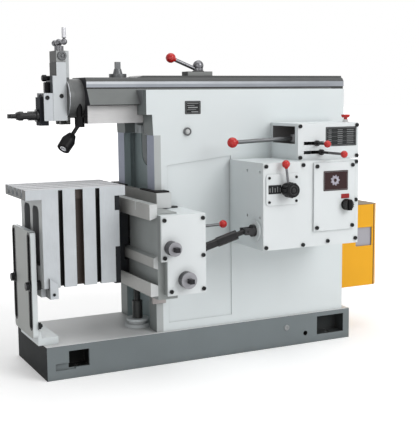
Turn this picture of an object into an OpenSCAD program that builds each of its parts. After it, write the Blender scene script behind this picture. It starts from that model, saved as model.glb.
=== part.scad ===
// Crank shaper with a 500 mm stroke: box column on a flat base, ram on top with a swivel tool head,
// box table on a raising crossrail, feed box and speed box on the operator side.
// Millimetres, +Z up. Origin at the middle of the base underside, +X to the rear, operator at -Y.

/* [Base and column] */
// Length of the base casting
base_l = 1450; // [1430:5:1470]
// Width of the base casting
base_w = 430; // [424:2:450]
// Height of the base casting
base_h = 140; // [134:2:150]
// Width of the column across its sides
col_w = 410; // [404:2:416]
// Height of the column above the base
col_h = 1011; // [1005:2:1025]
// Width of each vertical way on the column front
way_w = 75; // [70:1:80]
// Thickness of the vertical ways
way_t = 30; // [28:1:34]

/* [Ram] */
// Length of the ram
ram_l = 1255; // [1235:5:1275]
// Height of the ram above its flat ways
ram_h = 113; // [110:1:118]
// Half width of the ram at the bottom of the dovetail
ram_dove = 137; // [134:1:140]
// Half width of the ram top
ram_top_w = 86; // [82:1:90]
// Diameter of the round seat for the tool head
boss_d = 160; // [152:2:166]

/* [Drive] */
// Length of the rocker between its two pin centres
rocker_l = 850; // [845:1:855]
// Crank radius at full stroke
crank_r = 121; // [116:1:124]
// Module of the bull gear pair
bull_m = 5; // [5:0.1:5.2]
// Teeth of the bull gear
bull_z = 80; // [76:1:81]
// Teeth of the pinion that drives the bull gear
pin_z = 20; // [19:1:21]
// Module of the first gear pair
in_m = 4; // [4:0.1:4.2]
// Teeth of the large first gear
big_z = 50; // [48:1:51]
// Teeth of the small first gear
small_z = 20; // [19:1:21]
// Diameter of the driven pulley
pulley_d = 220; // [212:2:226]
// Diameter of the motor pulley
motor_pulley_d = 90; // [86:2:100]
// Diameter of the motor body
motor_d = 180; // [170:2:190]

/* [Tool head] */
// Width of the tool slide
slide_w = 92; // [88:2:100]
// Height of the tool slide
slide_h = 236; // [230:2:242]
// Diameter of the down-feed screw
feed_d = 20; // [18:1:22]
// Diameter of the tool post barrel
post_d = 38; // [34:1:40]
// Shank opening in the tool post
shank = 22; // [18:1:24]

/* [Table] */
// Length of the table top
table_l = 411; // [405:1:415]
// Width of the table top
table_w = 301; // [297:1:311]
// Thickness of the table top
top_t = 40; // [36:1:44]
// Width of the table slots
slot_w = 18; // [16:1:20]
// Length of the crossrail
rail_l = 842; // [836:2:850]
// Thickness of the crossrail body
rail_body = 83; // [82:0.5:86]
// Thickness of the front guides on the crossrail
guide_t = 32; // [30:1:34]
// Diameter of the cross-feed screw
cross_d = 28; // [26:1:30]
// Diameter of the elevating screw
elev_d = 28; // [26:1:30]

/* [Boxes] */
// Length of the feed box
feed_l = 462; // [456:2:466]
// Depth of the feed box from the column side
feed_w = 288; // [282:2:292]
// Length of the speed box
speed_l = 305; // [301:2:309]
// Depth of the speed box from the column side
speed_w = 221; // [217:2:227]
// Thickness of the box covers
cover_t = 12; // [10:1:14]
// Diameter of the lever balls
ball_d = 32; // [28:1:36]

/* [Fits] */
// Radial clearance of turning shafts
run_gap = 0.05; // [0.03:0.01:0.08]
// Clearance of sliding flat faces
slide_gap = 0.2; // [0.15:0.05:0.3]
// Backlash on each gear
backlash = 0.25; // [0.2:0.05:0.35]

/* [Hidden] */
$fn = 48;
e = 0.5;

col_x1 = base_l / 2 - 35;
col_x0 = -214;
way_x = col_x0 - way_t;
head_x = way_x - 31;
zt = base_h;
col_z = zt + col_h;
ramway_z = col_z - 61;
ram_z = ramway_z + ram_h;
ram_low = ramway_z - 74;
cw = col_w / 2;
wall = 20;
recess_x = col_x0 + 24;

ram_x0 = -490;
ram_x1 = ram_x0 + ram_l;
ram_in = 58;
axis_z = ramway_z + 28;
screw_z = ramway_z + 40;
spindle_x = -317;

piv_x = 90;
piv_z = zt + 60;
tilt = asin(60 / rocker_l);
bull_x = piv_x;
bull_cz = piv_z + 420;
pin_s = 420 * cos(tilt) + sqrt(crank_r * crank_r - pow(420 * sin(tilt), 2));
pin_x = piv_x + pin_s * sin(tilt);
pin_z0 = piv_z + pin_s * cos(tilt);
crank_a = atan2(pin_z0 - bull_cz, pin_x - bull_x);
top_x = piv_x + rocker_l * sin(tilt);
top_z = piv_z + rocker_l * cos(tilt);
bull_c = bull_m * (bull_z + pin_z) / 2;
bull_dir = -20;
ps_x = bull_x + bull_c * cos(bull_dir);
ps_z = bull_cz + bull_c * sin(bull_dir);
in_c = in_m * (big_z + small_z) / 2;
in_dir = 28;
is_x = ps_x + in_c * cos(in_dir);
is_z = ps_z + in_c * sin(in_dir);
mot_x = col_x1 + 135;
mot_z = zt + 310;
belt_y0 = 122;
belt_ra = pulley_d / 2 - 2.5;
belt_rb = motor_pulley_d / 2 - 2.5;
belt_d = sqrt(pow(mot_x - is_x, 2) + pow(mot_z - is_z, 2));
belt_a = atan2(mot_z - is_z, mot_x - is_x);
belt_f = acos((belt_ra - belt_rb) / belt_d);
// Height of the upper (s = 1) or lower (s = -1) run of the belts at x
function belt_edge(x, s) =
  is_z + (belt_ra - (x - is_x) * cos(belt_a + s * belt_f)) / sin(belt_a + s * belt_f);
foot_f = -base_l / 2 + 135;
foot_r = base_l / 2 - 105;
foot_y = base_w / 2 - 30;

rail_xb = way_x - slide_gap;
rail_xf = rail_xb - rail_body;
guide_x = rail_xf - guide_t;
rl = rail_l / 2;
knee_z = zt + 190;
rail_z1 = knee_z + 344;
tongue = cw - way_w - slide_gap;
table_y = -67;
sad_x = guide_x - slide_gap;
sad_t = 66;
tab_xb = sad_x - sad_t;
plate_x = tab_xb + 25;
tab_x1 = tab_xb + 46;
tab_x0 = tab_x1 - table_l;
tab_z = knee_z + 440;
body_x0 = tab_xb - 301;
body_z0 = knee_z + 47;
ledge_z = knee_z + 5;
win_w = table_w / 2 - 63;
win_z = tab_z - top_t - 32;
cs_x = -289;
cs_z = knee_z + 211;
slot_y0 = table_y - 63;
lug_w = cw + 68;
lug_z = knee_z + 405;
box_z0 = knee_z + 20;
el_x = -270;
el_y = -55;
es_z = knee_z + 50;
ed_z = es_z + 31;
ed_x = el_x + sqrt(54 * 54 - 31 * 31);
gb_y1 = -cw - 8;
gb_y0 = -rl - 29;
gcov_y = gb_y0 - 10;

fb_x0 = 106;
fb_x1 = fb_x0 + feed_l;
fb_y = -cw - feed_w;
fb_z0 = zt + 360;
fb_z1 = fb_z0 + 355;
sb_x0 = fb_x0 + 204;
sb_x1 = sb_x0 + speed_l;
sb_y = -cw - speed_w;
sb_z1 = fb_z1 + 152;
shaft_y = fb_y + 58;
shaft_z = fb_z0 + 78;
joint_x = fb_x0 - 52;
sh_a = atan2(65, 189);

sw_x = ram_x0 - 66;
th_x0 = sw_x - 59;
th_z1 = axis_z + 147;
clamp_y = 15 - boss_d / 2;
df_x = sw_x - 14;
box_z1 = th_z1 - 124;
box_x0 = th_x0 - 39;
br_x1 = body_x0 - 19;

module bx(x0, x1, y0, y1, z0, z1) {
  translate([x0, y0, z0]) cube([x1 - x0, y1 - y0, z1 - z0]);
}
module xc(x0, x1, y, z, d) {
  translate([x0, y, z]) rotate([0, 90, 0]) cylinder(d = d, h = x1 - x0);
}
module yc(x, z, y0, y1, d) {
  translate([x, y1, z]) rotate([90, 0, 0]) cylinder(d = d, h = y1 - y0);
}
module zc(x, y, z0, z1, d) {
  translate([x, y, z0]) cylinder(d = d, h = z1 - z0);
}
module side(y0, y1) {
  translate([0, y1, 0]) rotate([90, 0, 0]) linear_extrude(y1 - y0) children();
}
module along_x(x0, x1) {
  translate([x0, 0, 0]) rotate([90, 0, 90]) linear_extrude(x1 - x0) children();
}
module rr(l, w, r) {
  square([l - 2 * r, w], center = true);
  square([l, w - 2 * r], center = true);
  for (i = [-1, 1], j = [-1, 1]) translate([i * (l / 2 - r), j * (w / 2 - r)]) circle(r);
}
module cap_screw(x, y, z) {
  difference() {
    yc(x, z, y - 6, y, 16);
    translate([x, y - 3, z]) rotate([90, 0, 0]) cylinder(d = 9, h = 4, $fn = 6);
  }
}

function inv(a) = tan(a) * 180 / PI - a;
function half_a(z, m, r) = (PI * m / 2 - backlash) / (m * z) * 180 / PI + inv(20)
  - inv(acos(min(1, m * z / 2 * cos(20) / r)));
function tooth(z, m) = let(rp = m * z / 2, rf = rp - 1.2 * m, rs = max(rp * cos(20), rf + 0.2 * m),
  ra = rp + m)
  [[rf, -half_a(z, m, rs)], [rs, -half_a(z, m, rs)], [rp, -half_a(z, m, rp)], [ra, -half_a(z, m, ra)],
   [ra, half_a(z, m, ra)], [rp, half_a(z, m, rp)], [rs, half_a(z, m, rs)], [rf, half_a(z, m, rs)]];
module gear(x, z, y0, y1, teeth, m, turn) {
  translate([x, y1, z]) rotate([90, 0, 0]) rotate([0, 0, turn]) linear_extrude(y1 - y0)
    polygon([for (i = [0 : teeth - 1]) for (p = tooth(teeth, m))
      [p[0] * cos(p[1] + i * 360 / teeth), p[0] * sin(p[1] + i * 360 / teeth)]]);
}
// Bevel wheel with its cone point at the origin, axis along +Z
module bevel(r0, r1) {
  difference() {
    translate([0, 0, r0]) cylinder(r1 = r0 - 0.8, r2 = r1 - 0.8, h = r1 - r0);
    for (i = [0 : 15]) rotate([0, 0, i * 22.5]) rotate([0, 45, 0])
      translate([-0.6, -1.1, 0]) cube([3, 2.2, r1 * 2]);
  }
}
module thread_rings(d, len, pitch) {
  rotate_extrude() polygon(concat([[0, 0]], [for (i = [0 : floor(len / pitch) - 1], k = [0 : 3])
    [d / 2 - (k == 1 || k == 2 ? 0 : 1.6), pitch * (i + [0, 0.25, 0.6, 0.85][k])]],
    [[d / 2 - 1.6, len], [0, len]]));
}

module base() {
  color("dimgray") difference() {
    bx(-base_l / 2, base_l / 2, -base_w / 2, base_w / 2, 0, base_h);
    bx(foot_f + 90, foot_r - 120, -base_w / 2 + 25, base_w / 2 - 25, 25, base_h - 26);
    bx(-150, col_x1 - 40, -cw + 40, cw - 40, base_h - 27, base_h + 1);
    for (s = [-1, 1]) {
      translate([foot_f - 43, s > 0 ? foot_y - 39 : -foot_y - 31, 44]) cube([86, 70, 70]);
      translate([foot_r - 72, s > 0 ? foot_y - 39 : -foot_y - 31, 34]) cube([144, 70, 84]);
      for (x = [foot_f, foot_r]) zc(x, s * foot_y, -1, 50, 24);
    }
    bx(foot_f - 98, foot_f - 16, -base_w / 2 - 1, -base_w / 2 + 10, 38, 66);
    yc(foot_r - 234, 86, -base_w / 2 - 1, -base_w / 2 + 30, 20);
    yc(foot_r - 134, 48, -base_w / 2 - 1, -base_w / 2 + 30, 22);
    zc(el_x, el_y, base_h - 30, base_h + 1, 76);
  }
}

module column() {
  color("gainsboro") difference() {
    union() {
      side(-cw, cw) polygon([[col_x0, zt], [col_x1, zt], [col_x1, col_z], [head_x, col_z],
        [head_x, col_z - 101], [way_x - 6, col_z - 101], [way_x - 2, col_z - 186], [col_x0, col_z - 186]]);
      for (y = [-cw, cw - way_w]) bx(way_x, col_x0 + e, y, y + way_w, zt, col_z - 185);
    }
    difference() {
      bx(-165, col_x1 - 25, -cw + wall, cw - wall, zt - 1, ramway_z - 90);
      yc(bull_x, bull_cz, -cw, -120, 160);
      for (s = [-1, 1]) {
        yc(ps_x, ps_z, s > 0 ? cw - 35 : -cw, s > 0 ? cw : -cw + 75, 110);
        yc(is_x, is_z, s > 0 ? cw - 35 : -cw, s > 0 ? cw : -cw + 110, 90);
        yc(piv_x, piv_z, s > 0 ? 70 : -cw, s > 0 ? cw : -70, 110);
      }
    }
    bx(head_x - 1, col_x1 + 1, -108, 108, ramway_z - 91, ramway_z + 1);
    bx(head_x - 1, col_x1 + 1, -cw + 35, cw - 35, ramway_z, col_z + 1);
    bx(head_x - 1, recess_x, -108, 108, col_z - 188, ramway_z - 90);
    bx(col_x0, recess_x, -cw + way_w - 22, cw - way_w + 22, zt - 1, col_z - 187);
    bx(head_x - 1, -160, -62, 62, ramway_z - 200, ramway_z - 90);
    xc(head_x - 1, -160, 0, ramway_z - 200, 124);
    bx(-140, 180, cw - wall - 1, cw + 1, zt + 190, zt + 710);
    bx(col_x1 - 26, col_x1 + 1, belt_y0 - 14, belt_y0 + 60, belt_edge(col_x1, -1) - 24,
      belt_edge(col_x1 - 26, 1) + 11);
    yc(bull_x, bull_cz, -cw + 8, -119, 90 + 2 * run_gap);
    yc(ps_x, ps_z, -cw + 8, cw - 8, 60 + 2 * run_gap);
    yc(is_x, is_z, -cw + 8, cw - 8, 45 + 2 * run_gap);
    yc(piv_x, piv_z, -cw + 8, cw - 8, 60);
    side(-cw - 1, -cw + 4) polygon([[-188, zt + 36], [112, zt + 36], [112, zt + 731], [-188, zt + 700]]);
  }
}

module ram_gibs() {
  color("silver") for (s = [-1, 1]) mirror([0, s > 0 ? 0 : 1, 0]) difference() {
    along_x(head_x, col_x1) polygon([[ram_dove + slide_gap, ramway_z], [cw - 35, ramway_z], [cw - 35, col_z],
      [ram_dove + slide_gap - (col_z - ramway_z) * tan(30), col_z]]);
    for (x = [-200 : 160 : 600]) translate([x, cw - 56, col_z - 8]) cylinder(d = 18, h = 10);
  }
}

module side_cover() {
  color("gainsboro") {
    bx(-165, 205, cw, cw + 10, zt + 165, zt + 735);
    for (x = [-150, 190], z = [zt + 180, zt + 450, zt + 720]) yc(x, z, cw + 10, cw + 16, 16);
  }
}

module feed_box() {
  color("gainsboro") difference() {
    bx(fb_x0, fb_x1, fb_y + cover_t, -cw, fb_z0, fb_z1);
    bx(fb_x0 + 16, fb_x1 - 16, fb_y + cover_t - 1, -cw - 20, fb_z0 + 16, fb_z1 - 16);
    xc(fb_x0 - 1, fb_x0 + 20, shaft_y, shaft_z, 34 + 2 * run_gap);
    for (y = [fb_y + 28, fb_y + 133], z = [fb_z1 - 37, fb_z1 - 223]) xc(fb_x0 - 1, fb_x0 + 6, y, z, 12);
  }
}

module feed_cover() {
  color("whitesmoke") difference() {
    bx(fb_x0, fb_x1, fb_y, fb_y + cover_t, fb_z0, fb_z1);
    yc(fb_x0 + 106, fb_z1 - 109, fb_y - 1, fb_y + cover_t + 1, 26 + 2 * run_gap);
    yc(fb_x0 + 394, fb_z1 - 187, fb_y - 1, fb_y + cover_t + 1, 22);
  }
}

module switch_panel() {
  color("gainsboro") difference() {
    bx(fb_x0 + 236, fb_x0 + 438, fb_y - 8, fb_y, fb_z0 + 63, fb_z1 - 8);
    yc(fb_x0 + 394, fb_z1 - 187, fb_y - 9, fb_y + 1, 14 + 2 * run_gap);
  }
}

module speed_box() {
  color("gainsboro") difference() {
    bx(sb_x0, sb_x1, sb_y + cover_t, -cw, fb_z1, sb_z1);
    bx(sb_x0 + 12, sb_x1 - 12, sb_y + cover_t - 1, -cw - 15, fb_z1 + 12, sb_z1 - 12);
    bx(sb_x0 - 1, sb_x0 + 13, sb_y + 24, -cw - 15, sb_z1 - 85, sb_z1 - 12);
    zc(sb_x1 - 14, sb_y + 78, sb_z1 - 13, sb_z1 + 1, 16.6);
    zc(sb_x0 + 36, sb_y + 86, fb_z1 + 6, fb_z1 + 13, 20 + 2 * run_gap);
  }
}

module speed_cover() {
  color("whitesmoke") difference() {
    bx(sb_x0, sb_x1, sb_y, sb_y + cover_t, fb_z1, sb_z1);
    for (z = [fb_z1 + 69, fb_z1 + 31])
      bx(sb_x0 + 29, sb_x0 + 127, sb_y - 1, sb_y + cover_t + 1, z - 7, z + 7);
  }
}

module cover_screws() {
  color("dimgray") {
    for (p = [[12, 342], [187.5, 341], [449, 345], [449, 184], [449, 20], [309, 18], [187.5, 11], [12, 12]])
      cap_screw(fb_x0 + p[0], fb_y, fb_z0 + p[1]);
    for (p = [[250, 333], [426, 333], [250, 78], [426, 78]]) cap_screw(fb_x0 + p[0], fb_y - 8, fb_z0 + p[1]);
    for (x = [10, speed_l - 10], z = [11, 141]) cap_screw(sb_x0 + x, sb_y, fb_z1 + z);
  }
}

module estop_button() {
  color("red") {
    zc(sb_x1 - 14, sb_y + 78, sb_z1 - 8, sb_z1 + 19, 16);
    translate([sb_x1 - 14, sb_y + 78, sb_z1 + 19]) cylinder(d1 = 30, d2 = 38, h = 6);
    zc(sb_x1 - 14, sb_y + 78, sb_z1 + 25, sb_z1 + 32, 38);
  }
}

module clutch_lever() {
  px = sb_x0 + 36;
  py = sb_y + 86;
  pz = fb_z1 + 89;
  color("silver") {
    zc(px, py, fb_z1 + 6.5, pz, 20);
    zc(px, py, pz - 16, pz + 16, 34);
    translate([px, py, pz]) rotate([0, -2, 0]) xc(-282, -4, 0, 0, 17);
  }
  color("red") translate([px, py, pz]) rotate([0, -2, 0]) translate([-298, 0, 0]) rotate([0, 0, 90])
    sphere(d = ball_d + 11);
}

module shift_lever(x, z, reach) {
  color("silver") {
    yc(x, z, sb_y - reach, sb_y + cover_t + 30, 11);
    yc(x, z, sb_y - 12, sb_y - slide_gap, 24);
    bx(x - 16, x + 16, sb_y + cover_t + slide_gap, sb_y + cover_t + 34, z - 13, z + 13);
  }
  color("red") translate([x, sb_y - reach, z]) sphere(d = ball_d - 3);
}
module gear_lever_a() { shift_lever(sb_x0 + 90, fb_z1 + 69, 84); }
module gear_lever_b() { shift_lever(sb_x0 + 112, fb_z1 + 31, 172); }

module feed_selector() {
  px = fb_x0 + 106;
  pz = fb_z1 - 109;
  color("black") {
    yc(px, pz, fb_y - 60, fb_y - 7, 56);
    yc(px, pz, fb_y - 8, fb_y + 46, 26);
  }
  translate([px - 4, fb_y - 30, pz]) rotate([0, -8, 0]) {
    color("silver") cylinder(d = 10, h = 100);
    color("red") translate([0, 0, 106]) sphere(d = ball_d);
  }
}

module switch_knob() {
  px = fb_x0 + 394;
  pz = fb_z1 - 187;
  color("black") {
    yc(px, pz, fb_y - 14, fb_y - 8.5, 47);
    yc(px, pz, fb_y - 15, fb_y + 24, 14);
    bx(px - 8, px + 8, fb_y - 44, fb_y - 13, pz - 22, pz + 22);
  }
}

module belt_guard() {
  t = 3;
  color("gold") difference() {
    linear_extrude(393)
      polygon([[col_x1, -115], [col_x1 + 247, -115], [col_x1 + 270, -95], [col_x1 + 270, 195],
        [col_x1, 195]]);
    translate([0, 0, t]) linear_extrude(393 - 2 * t)
      polygon([[col_x1 - 1, -115 + t], [col_x1 + 246, -115 + t], [col_x1 + 270 - t, -94],
        [col_x1 + 270 - t, 195 - t], [col_x1 - 1, 195 - t]]);
    bx(col_x1 + 140, col_x1 + 232, -120, -100, 193, 282);
  }
}
module guard_place() { translate([0, 0, zt + 72]) children(); }

module motor() {
  color("silver") difference() {
    union() {
      yc(mot_x, mot_z, -80, 85, motor_d);
      for (y = [-70 : 15 : 80]) yc(mot_x, mot_z, y, y + 4, motor_d + 12);
      yc(mot_x, mot_z, 84, 100, motor_d - 20);
      yc(mot_x, mot_z, -98, -79, motor_d - 10);
      bx(mot_x - 75, mot_x + 75, -60, 60, mot_z - motor_d / 2 - 24, mot_z - motor_d / 2 + 20);
      bx(col_x1, mot_x + 90, -75, 75, mot_z - motor_d / 2 - 36, mot_z - motor_d / 2 - 22);
      bx(col_x1, col_x1 + 14, -75, 75, mot_z - motor_d / 2 - 36, mot_z + 60);
    }
    yc(mot_x, mot_z, 20, 101, 30 + 2 * run_gap);
  }
}

module grooved(x, z, d, hole) {
  translate([x, belt_y0 + 45, z]) rotate([90, 0, 0]) rotate_extrude()
    polygon(concat([[hole, 0], [d / 2, 0]], [for (i = [0 : 2], k = [0 : 3])
      [d / 2 - (k == 1 || k == 2 ? 11 : 0), 3 + i * 14 + [0, 0.5, 10.5, 11][k]]], [[d / 2, 45], [hole, 45]]));
}

module motor_pulley() {
  color("dimgray") {
    grooved(mot_x, mot_z, motor_pulley_d, 0);
    yc(mot_x, mot_z, 24, belt_y0 + 40, 30);
  }
}

module belt_outline(ra, rb, d) {
  f = acos((ra - rb) / d);
  polygon(concat([for (i = [0 : 72]) let(t = f + (360 - 2 * f) * i / 72) [ra * cos(t), ra * sin(t)]],
    [for (i = [0 : 24]) let(t = -f + 2 * f * i / 24) [d + rb * cos(t), rb * sin(t)]]));
}
module v_belts() {
  color("black") for (i = [0 : 2]) translate([is_x, belt_y0 + 45 - 4.5 - i * 14, is_z]) rotate([90, 0, 0])
    rotate([0, 0, belt_a]) linear_extrude(8) difference() {
      belt_outline(belt_ra, belt_rb, belt_d);
      belt_outline(belt_ra - 8, belt_rb - 8, belt_d);
    }
}

module input_shaft() {
  color("silver") {
    yc(is_x, is_z, -cw + 10, cw - 10, 45);
    gear(is_x, is_z, 55, 95, small_z, in_m, in_dir + 180 + 180 / small_z);
    grooved(is_x, is_z, pulley_d, 0);
  }
}

module pinion_shaft() {
  color("silver") {
    yc(ps_x, ps_z, -cw + 10, cw - 10, 60);
    gear(ps_x, ps_z, -105, -45, pin_z, bull_m, bull_dir + 180 + 180 / pin_z);
    gear(ps_x, ps_z, 57, 93, big_z, in_m, in_dir);
  }
}

module bull_gear() {
  color("silver") difference() {
    union() {
      gear(bull_x, bull_cz, -100, -56, bull_z, bull_m, bull_dir);
      yc(bull_x, bull_cz, -cw + 9, -56, 90);
      yc(bull_x, bull_cz, -116, -56, 150);
      translate([bull_x, 0, bull_cz]) rotate([0, -crank_a, 0])
        for (s = [-1, 1]) bx(-30, 182, -57, -42, s > 0 ? 36 : -62, s > 0 ? 62 : -36);
    }
    for (i = [0 : 4]) rotate_about(bull_x, bull_cz, crank_a + 60 + 60 * i)
      yc(130, 0, -101, -50, 70);
  }
}
module rotate_about(x, z, a) { translate([x, 0, z]) rotate([0, -a, 0]) children(); }

module crank_block() {
  color("dimgray") rotate_about(bull_x, bull_cz, crank_a) {
    bx(crank_r - 40, crank_r + 40, -55.5, -36, -35.7, 35.7);
    yc(crank_r, 0, -37, -30, 50);
  }
}

module die_block() {
  color("goldenrod") translate([piv_x, 0, piv_z]) rotate([0, tilt, 0]) difference() {
    bx(-35 + slide_gap, 35 - slide_gap, -28, 28, pin_s - 45, pin_s + 45);
    yc(0, pin_s, -29, 29, 50.6);
  }
}

module rocker() {
  s0 = 420 - crank_r - 56;
  s1 = 420 + crank_r + 56;
  color("gray") translate([piv_x, 0, piv_z]) rotate([0, tilt, 0]) difference() {
    union() {
      yc(0, 0, -66, 66, 130);
      side(-28, 28) polygon([[-55, 0], [55, 0], [72, s0 - 60], [72, s1 + 20], [40, s1 + 110], [40, rocker_l],
        [-40, rocker_l], [-40, s1 + 110], [-72, s1 + 20], [-72, s0 - 60]]);
      yc(0, rocker_l, -28, 28, 80);
      yc(0, rocker_l, -56, 56, 40);
    }
    bx(-35, 35, -29, 29, s0, s1);
    yc(0, 0, -67, 67, 60 + 2 * run_gap);
  }
}

module rocker_pin() { color("silver") yc(piv_x, piv_z, -cw + 8.5, cw - 8.5, 60); }

module nut_block() {
  color("gray") difference() {
    union() {
      bx(-20, 200, -56, 56, ramway_z + 10, ramway_z + 75 - slide_gap);
      for (y = [-56, 31]) bx(top_x - 45, top_x + 45, y, y + 25, top_z - 63, ramway_z + 11);
      zc(60, 0, ramway_z + 74, ram_z + 34, 28);
    }
    bx(top_x - 26, top_x + 26, -57, 57, top_z - 64, top_z + 26);
    xc(-21, 201, 0, screw_z, 30 + 2 * run_gap);
  }
}

module clamp_block() {
  color("dimgray") difference() {
    union() {
      bx(-5, 115, -30, 30, ram_z + slide_gap, ram_z + 27);
      zc(60, 0, ram_z + 26, ram_z + 30, 52);
    }
    zc(60, 0, ram_z - 1, ram_z + 31, 28.6);
  }
}

module clamp_lever() {
  color("silver") difference() {
    union() {
      zc(60, 0, ram_z + 30.5, ram_z + 44, 44);
      translate([60, 0, ram_z + 53]) sphere(d = 48);
      clamp_arm() cylinder(d = 17, h = 126);
    }
    zc(60, 0, ram_z + 20, ram_z + 30.5, 60);
    zc(60, 0, ram_z + 30, ram_z + 36, 28.6);
  }
  color("red") clamp_arm() translate([0, 0, 141.4]) sphere(d = ball_d + 11);
}
module clamp_arm() { translate([60, 0, ram_z + 33]) rotate([0, -68.3, 0]) children(); }

module ram() {
  dz = ramway_z + slide_gap;
  ht = 73;
  color("gray") difference() {
    union() {
      along_x(ram_x0, ram_x1) {
        polygon([[-102, ram_low], [102, ram_low], [102, dz + e], [ram_dove, dz],
          [ram_dove - ht * tan(30), dz + ht], [ram_top_w + 8, ram_z - 16], [ram_top_w, ram_z - 5],
          [ram_top_w - 8, ram_z], [8 - ram_top_w, ram_z], [-ram_top_w, ram_z - 5],
          [-ram_top_w - 8, ram_z - 16], [ht * tan(30) - ram_dove, dz + ht], [-ram_dove, dz], [-102, dz + e]]);
      }
      xc(ram_x0 - 44, ram_x0 + 10, 0, axis_z, boss_d);
      side(12 - ram_top_w, ram_top_w - 12) polygon([[-262, ram_z - e], [-232, ram_z + 8],
        [ram_x1, ram_z + 8], [ram_x1, ram_z - e]]);
    }
    difference() {
      bx(ram_x0 + 90, ram_x1 - 30, -ram_in, ram_in, ram_low - 1, ramway_z + 75);
      bx(-275, -250, -ram_in, ram_in, screw_z - 45, ram_z);
      bx(430, 455, -ram_in, ram_in, screw_z - 45, ram_z);
    }
    xc(-276, -249, 0, screw_z, 24 + 2 * run_gap);
    xc(429, 456, 0, screw_z, 24 + 2 * run_gap);
    zc(spindle_x, 0, ramway_z + 74, ram_z + 1, 26 + 2 * run_gap);
    bx(40, 200, -16, 16, ramway_z + 74, ram_z + 1);
    bx(-20, 255, -34, 34, ram_z, ram_z + 9);
    bx(col_x1 + 2, ram_x1 + 1, -ram_dove - 1, ram_dove + 1, ram_low - 1, ramway_z + ht);
    zc(ram_x0 - 22, clamp_y, axis_z - boss_d, axis_z - 14, 24 + 2 * run_gap);
    xc(ram_x0 - 45, ram_x0 - 10, 0, axis_z, 60 + 2 * run_gap);
    bx(ram_x0 - 1, ram_x0 + 91, -40, 103, ram_low - 1, axis_z - boss_d / 2 - 1);
  }
}

module ram_screw() {
  color("silver") {
    xc(-276, -210, 0, screw_z, 24);
    translate([-210, 0, screw_z]) rotate([0, 90, 0]) thread_rings(30, 630, 10);
    xc(420, 470, 0, screw_z, 24);
    xc(spindle_x + 24, -276, 0, screw_z, 24);
    translate([spindle_x, 0, screw_z]) rotate([0, 90, 0]) rotate([0, 0, 11.25]) bevel(13, 25);
  }
}

module ram_spindle() {
  color("silver") {
    zc(spindle_x, 0, screw_z + 24, ram_z + 18, 26);
    zc(spindle_x, 0, ram_z + 0.3, ram_z + 16, 74);
    translate([spindle_x, 0, ram_z + 15]) cylinder(d1 = 42, d2 = 30, h = 22);
    translate([spindle_x - 10, -10, ram_z + 16]) cube([20, 20, 50]);
    translate([spindle_x, 0, screw_z]) bevel(13, 25);
  }
}

module head_clamp() {
  color("black") {
    zc(ram_x0 - 22, clamp_y, axis_z - boss_d / 2 - 16, axis_z - 17, 24);
    zc(ram_x0 - 22, clamp_y, axis_z - boss_d / 2 - 36, axis_z - boss_d / 2 + 6, 40);
    translate([ram_x0 - 22, clamp_y, axis_z - boss_d / 2 - 20]) rotate([0, 0, 30]) rotate([0, -134, 0]) {
      cylinder(d = 16, h = 90);
      translate([0, 0, 68]) cylinder(d1 = 34, d2 = 57, h = 30);
      translate([0, 0, 98]) cylinder(d1 = 57, d2 = 54, h = 44);
    }
  }
}

module swivel_head() {
  z0 = th_z1 - slide_h - 16;
  color("dimgray") difference() {
    union() {
      xc(sw_x, ram_x0 - 44.3, 0, axis_z, boss_d + 4);
      xc(ram_x0 - 45, ram_x0 - 12, 0, axis_z, 60);
      bx(sw_x, sw_x + 16, -32, 32, z0, th_z1 + 46);
      translate([0, 0, z0]) linear_extrude(th_z1 - z0 + 1)
        slide_way(0);
      bx(th_x0 + 17, sw_x + 1, -slide_w / 2 + 4, slide_w / 2 - 4, th_z1 + 0.5, th_z1 + 46);
    }
    bx(sw_x - 27, sw_x - 1, -13, 13, z0 - 1, th_z1);
    zc(df_x, 0, th_z1 - 1, th_z1 + 47, feed_d + 2 * run_gap);
  }
}

module slide_way(g) {
  polygon([[sw_x + 1, -22 - g], [sw_x, -22 - g], [sw_x - 26 - g, -36 - 2 * g], [sw_x - 26 - g, 36 + 2 * g],
    [sw_x, 22 + g], [sw_x + 1, 22 + g]]);
}

module tool_slide() {
  sw = slide_w / 2;
  color("gainsboro") difference() {
    union() {
      bx(th_x0, sw_x - 0.5, -sw, sw, th_z1 - slide_h, th_z1 - 54);
      bx(th_x0 + 17, sw_x - 0.5, -sw, sw, th_z1 - 55, th_z1);
      xc(th_x0 - 10, th_x0 + 10, 0, box_z1 - 60, 50);
    }
    difference() {
      translate([0, 0, th_z1 - slide_h - 1]) linear_extrude(slide_h + 2) slide_way(slide_gap);
      bx(sw_x - 28, sw_x - 2, -12.6, 12.6, th_z1 - 62, th_z1 - 12);
    }
    zc(df_x, 0, th_z1 - 63, th_z1 - 11, feed_d + 0.6);
  }
}

module downfeed_screw() {
  cz = th_z1 + 80;
  color("silver") {
    translate([df_x, 0, th_z1 - slide_h + 6]) thread_rings(feed_d, slide_h - 8, 5);
    zc(df_x, 0, th_z1 - 3, cz, feed_d);
    zc(df_x, 0, th_z1 + 46.3, th_z1 + 66, 38);
    translate([df_x, 0, cz]) sphere(d = 30);
    yc(df_x, cz, -70, 56, 11);
    translate([df_x, 56, cz]) sphere(d = 26);
    translate([df_x, -70, cz]) sphere(d = 26);
    zc(df_x, -70, cz, cz + 16, 10);
    zc(df_x, -70, cz + 15, cz + 56, 18);
  }
}

module clapper_box() {
  sw = slide_w / 2;
  color("gainsboro") difference() {
    bx(box_x0, th_x0 - 0.3, -sw, sw, box_z1 - 112, box_z1);
    bx(box_x0 - 1, box_x0 + 24, -30, 30, box_z1 - 113, box_z1 + 1);
    xc(box_x0, th_x0 + 1, 0, box_z1 - 60, 50 + 2 * run_gap);
    yc(box_x0 + 12, box_z1 - 16, -sw + 4, sw - 4, 12 + 2 * run_gap);
  }
}

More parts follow.
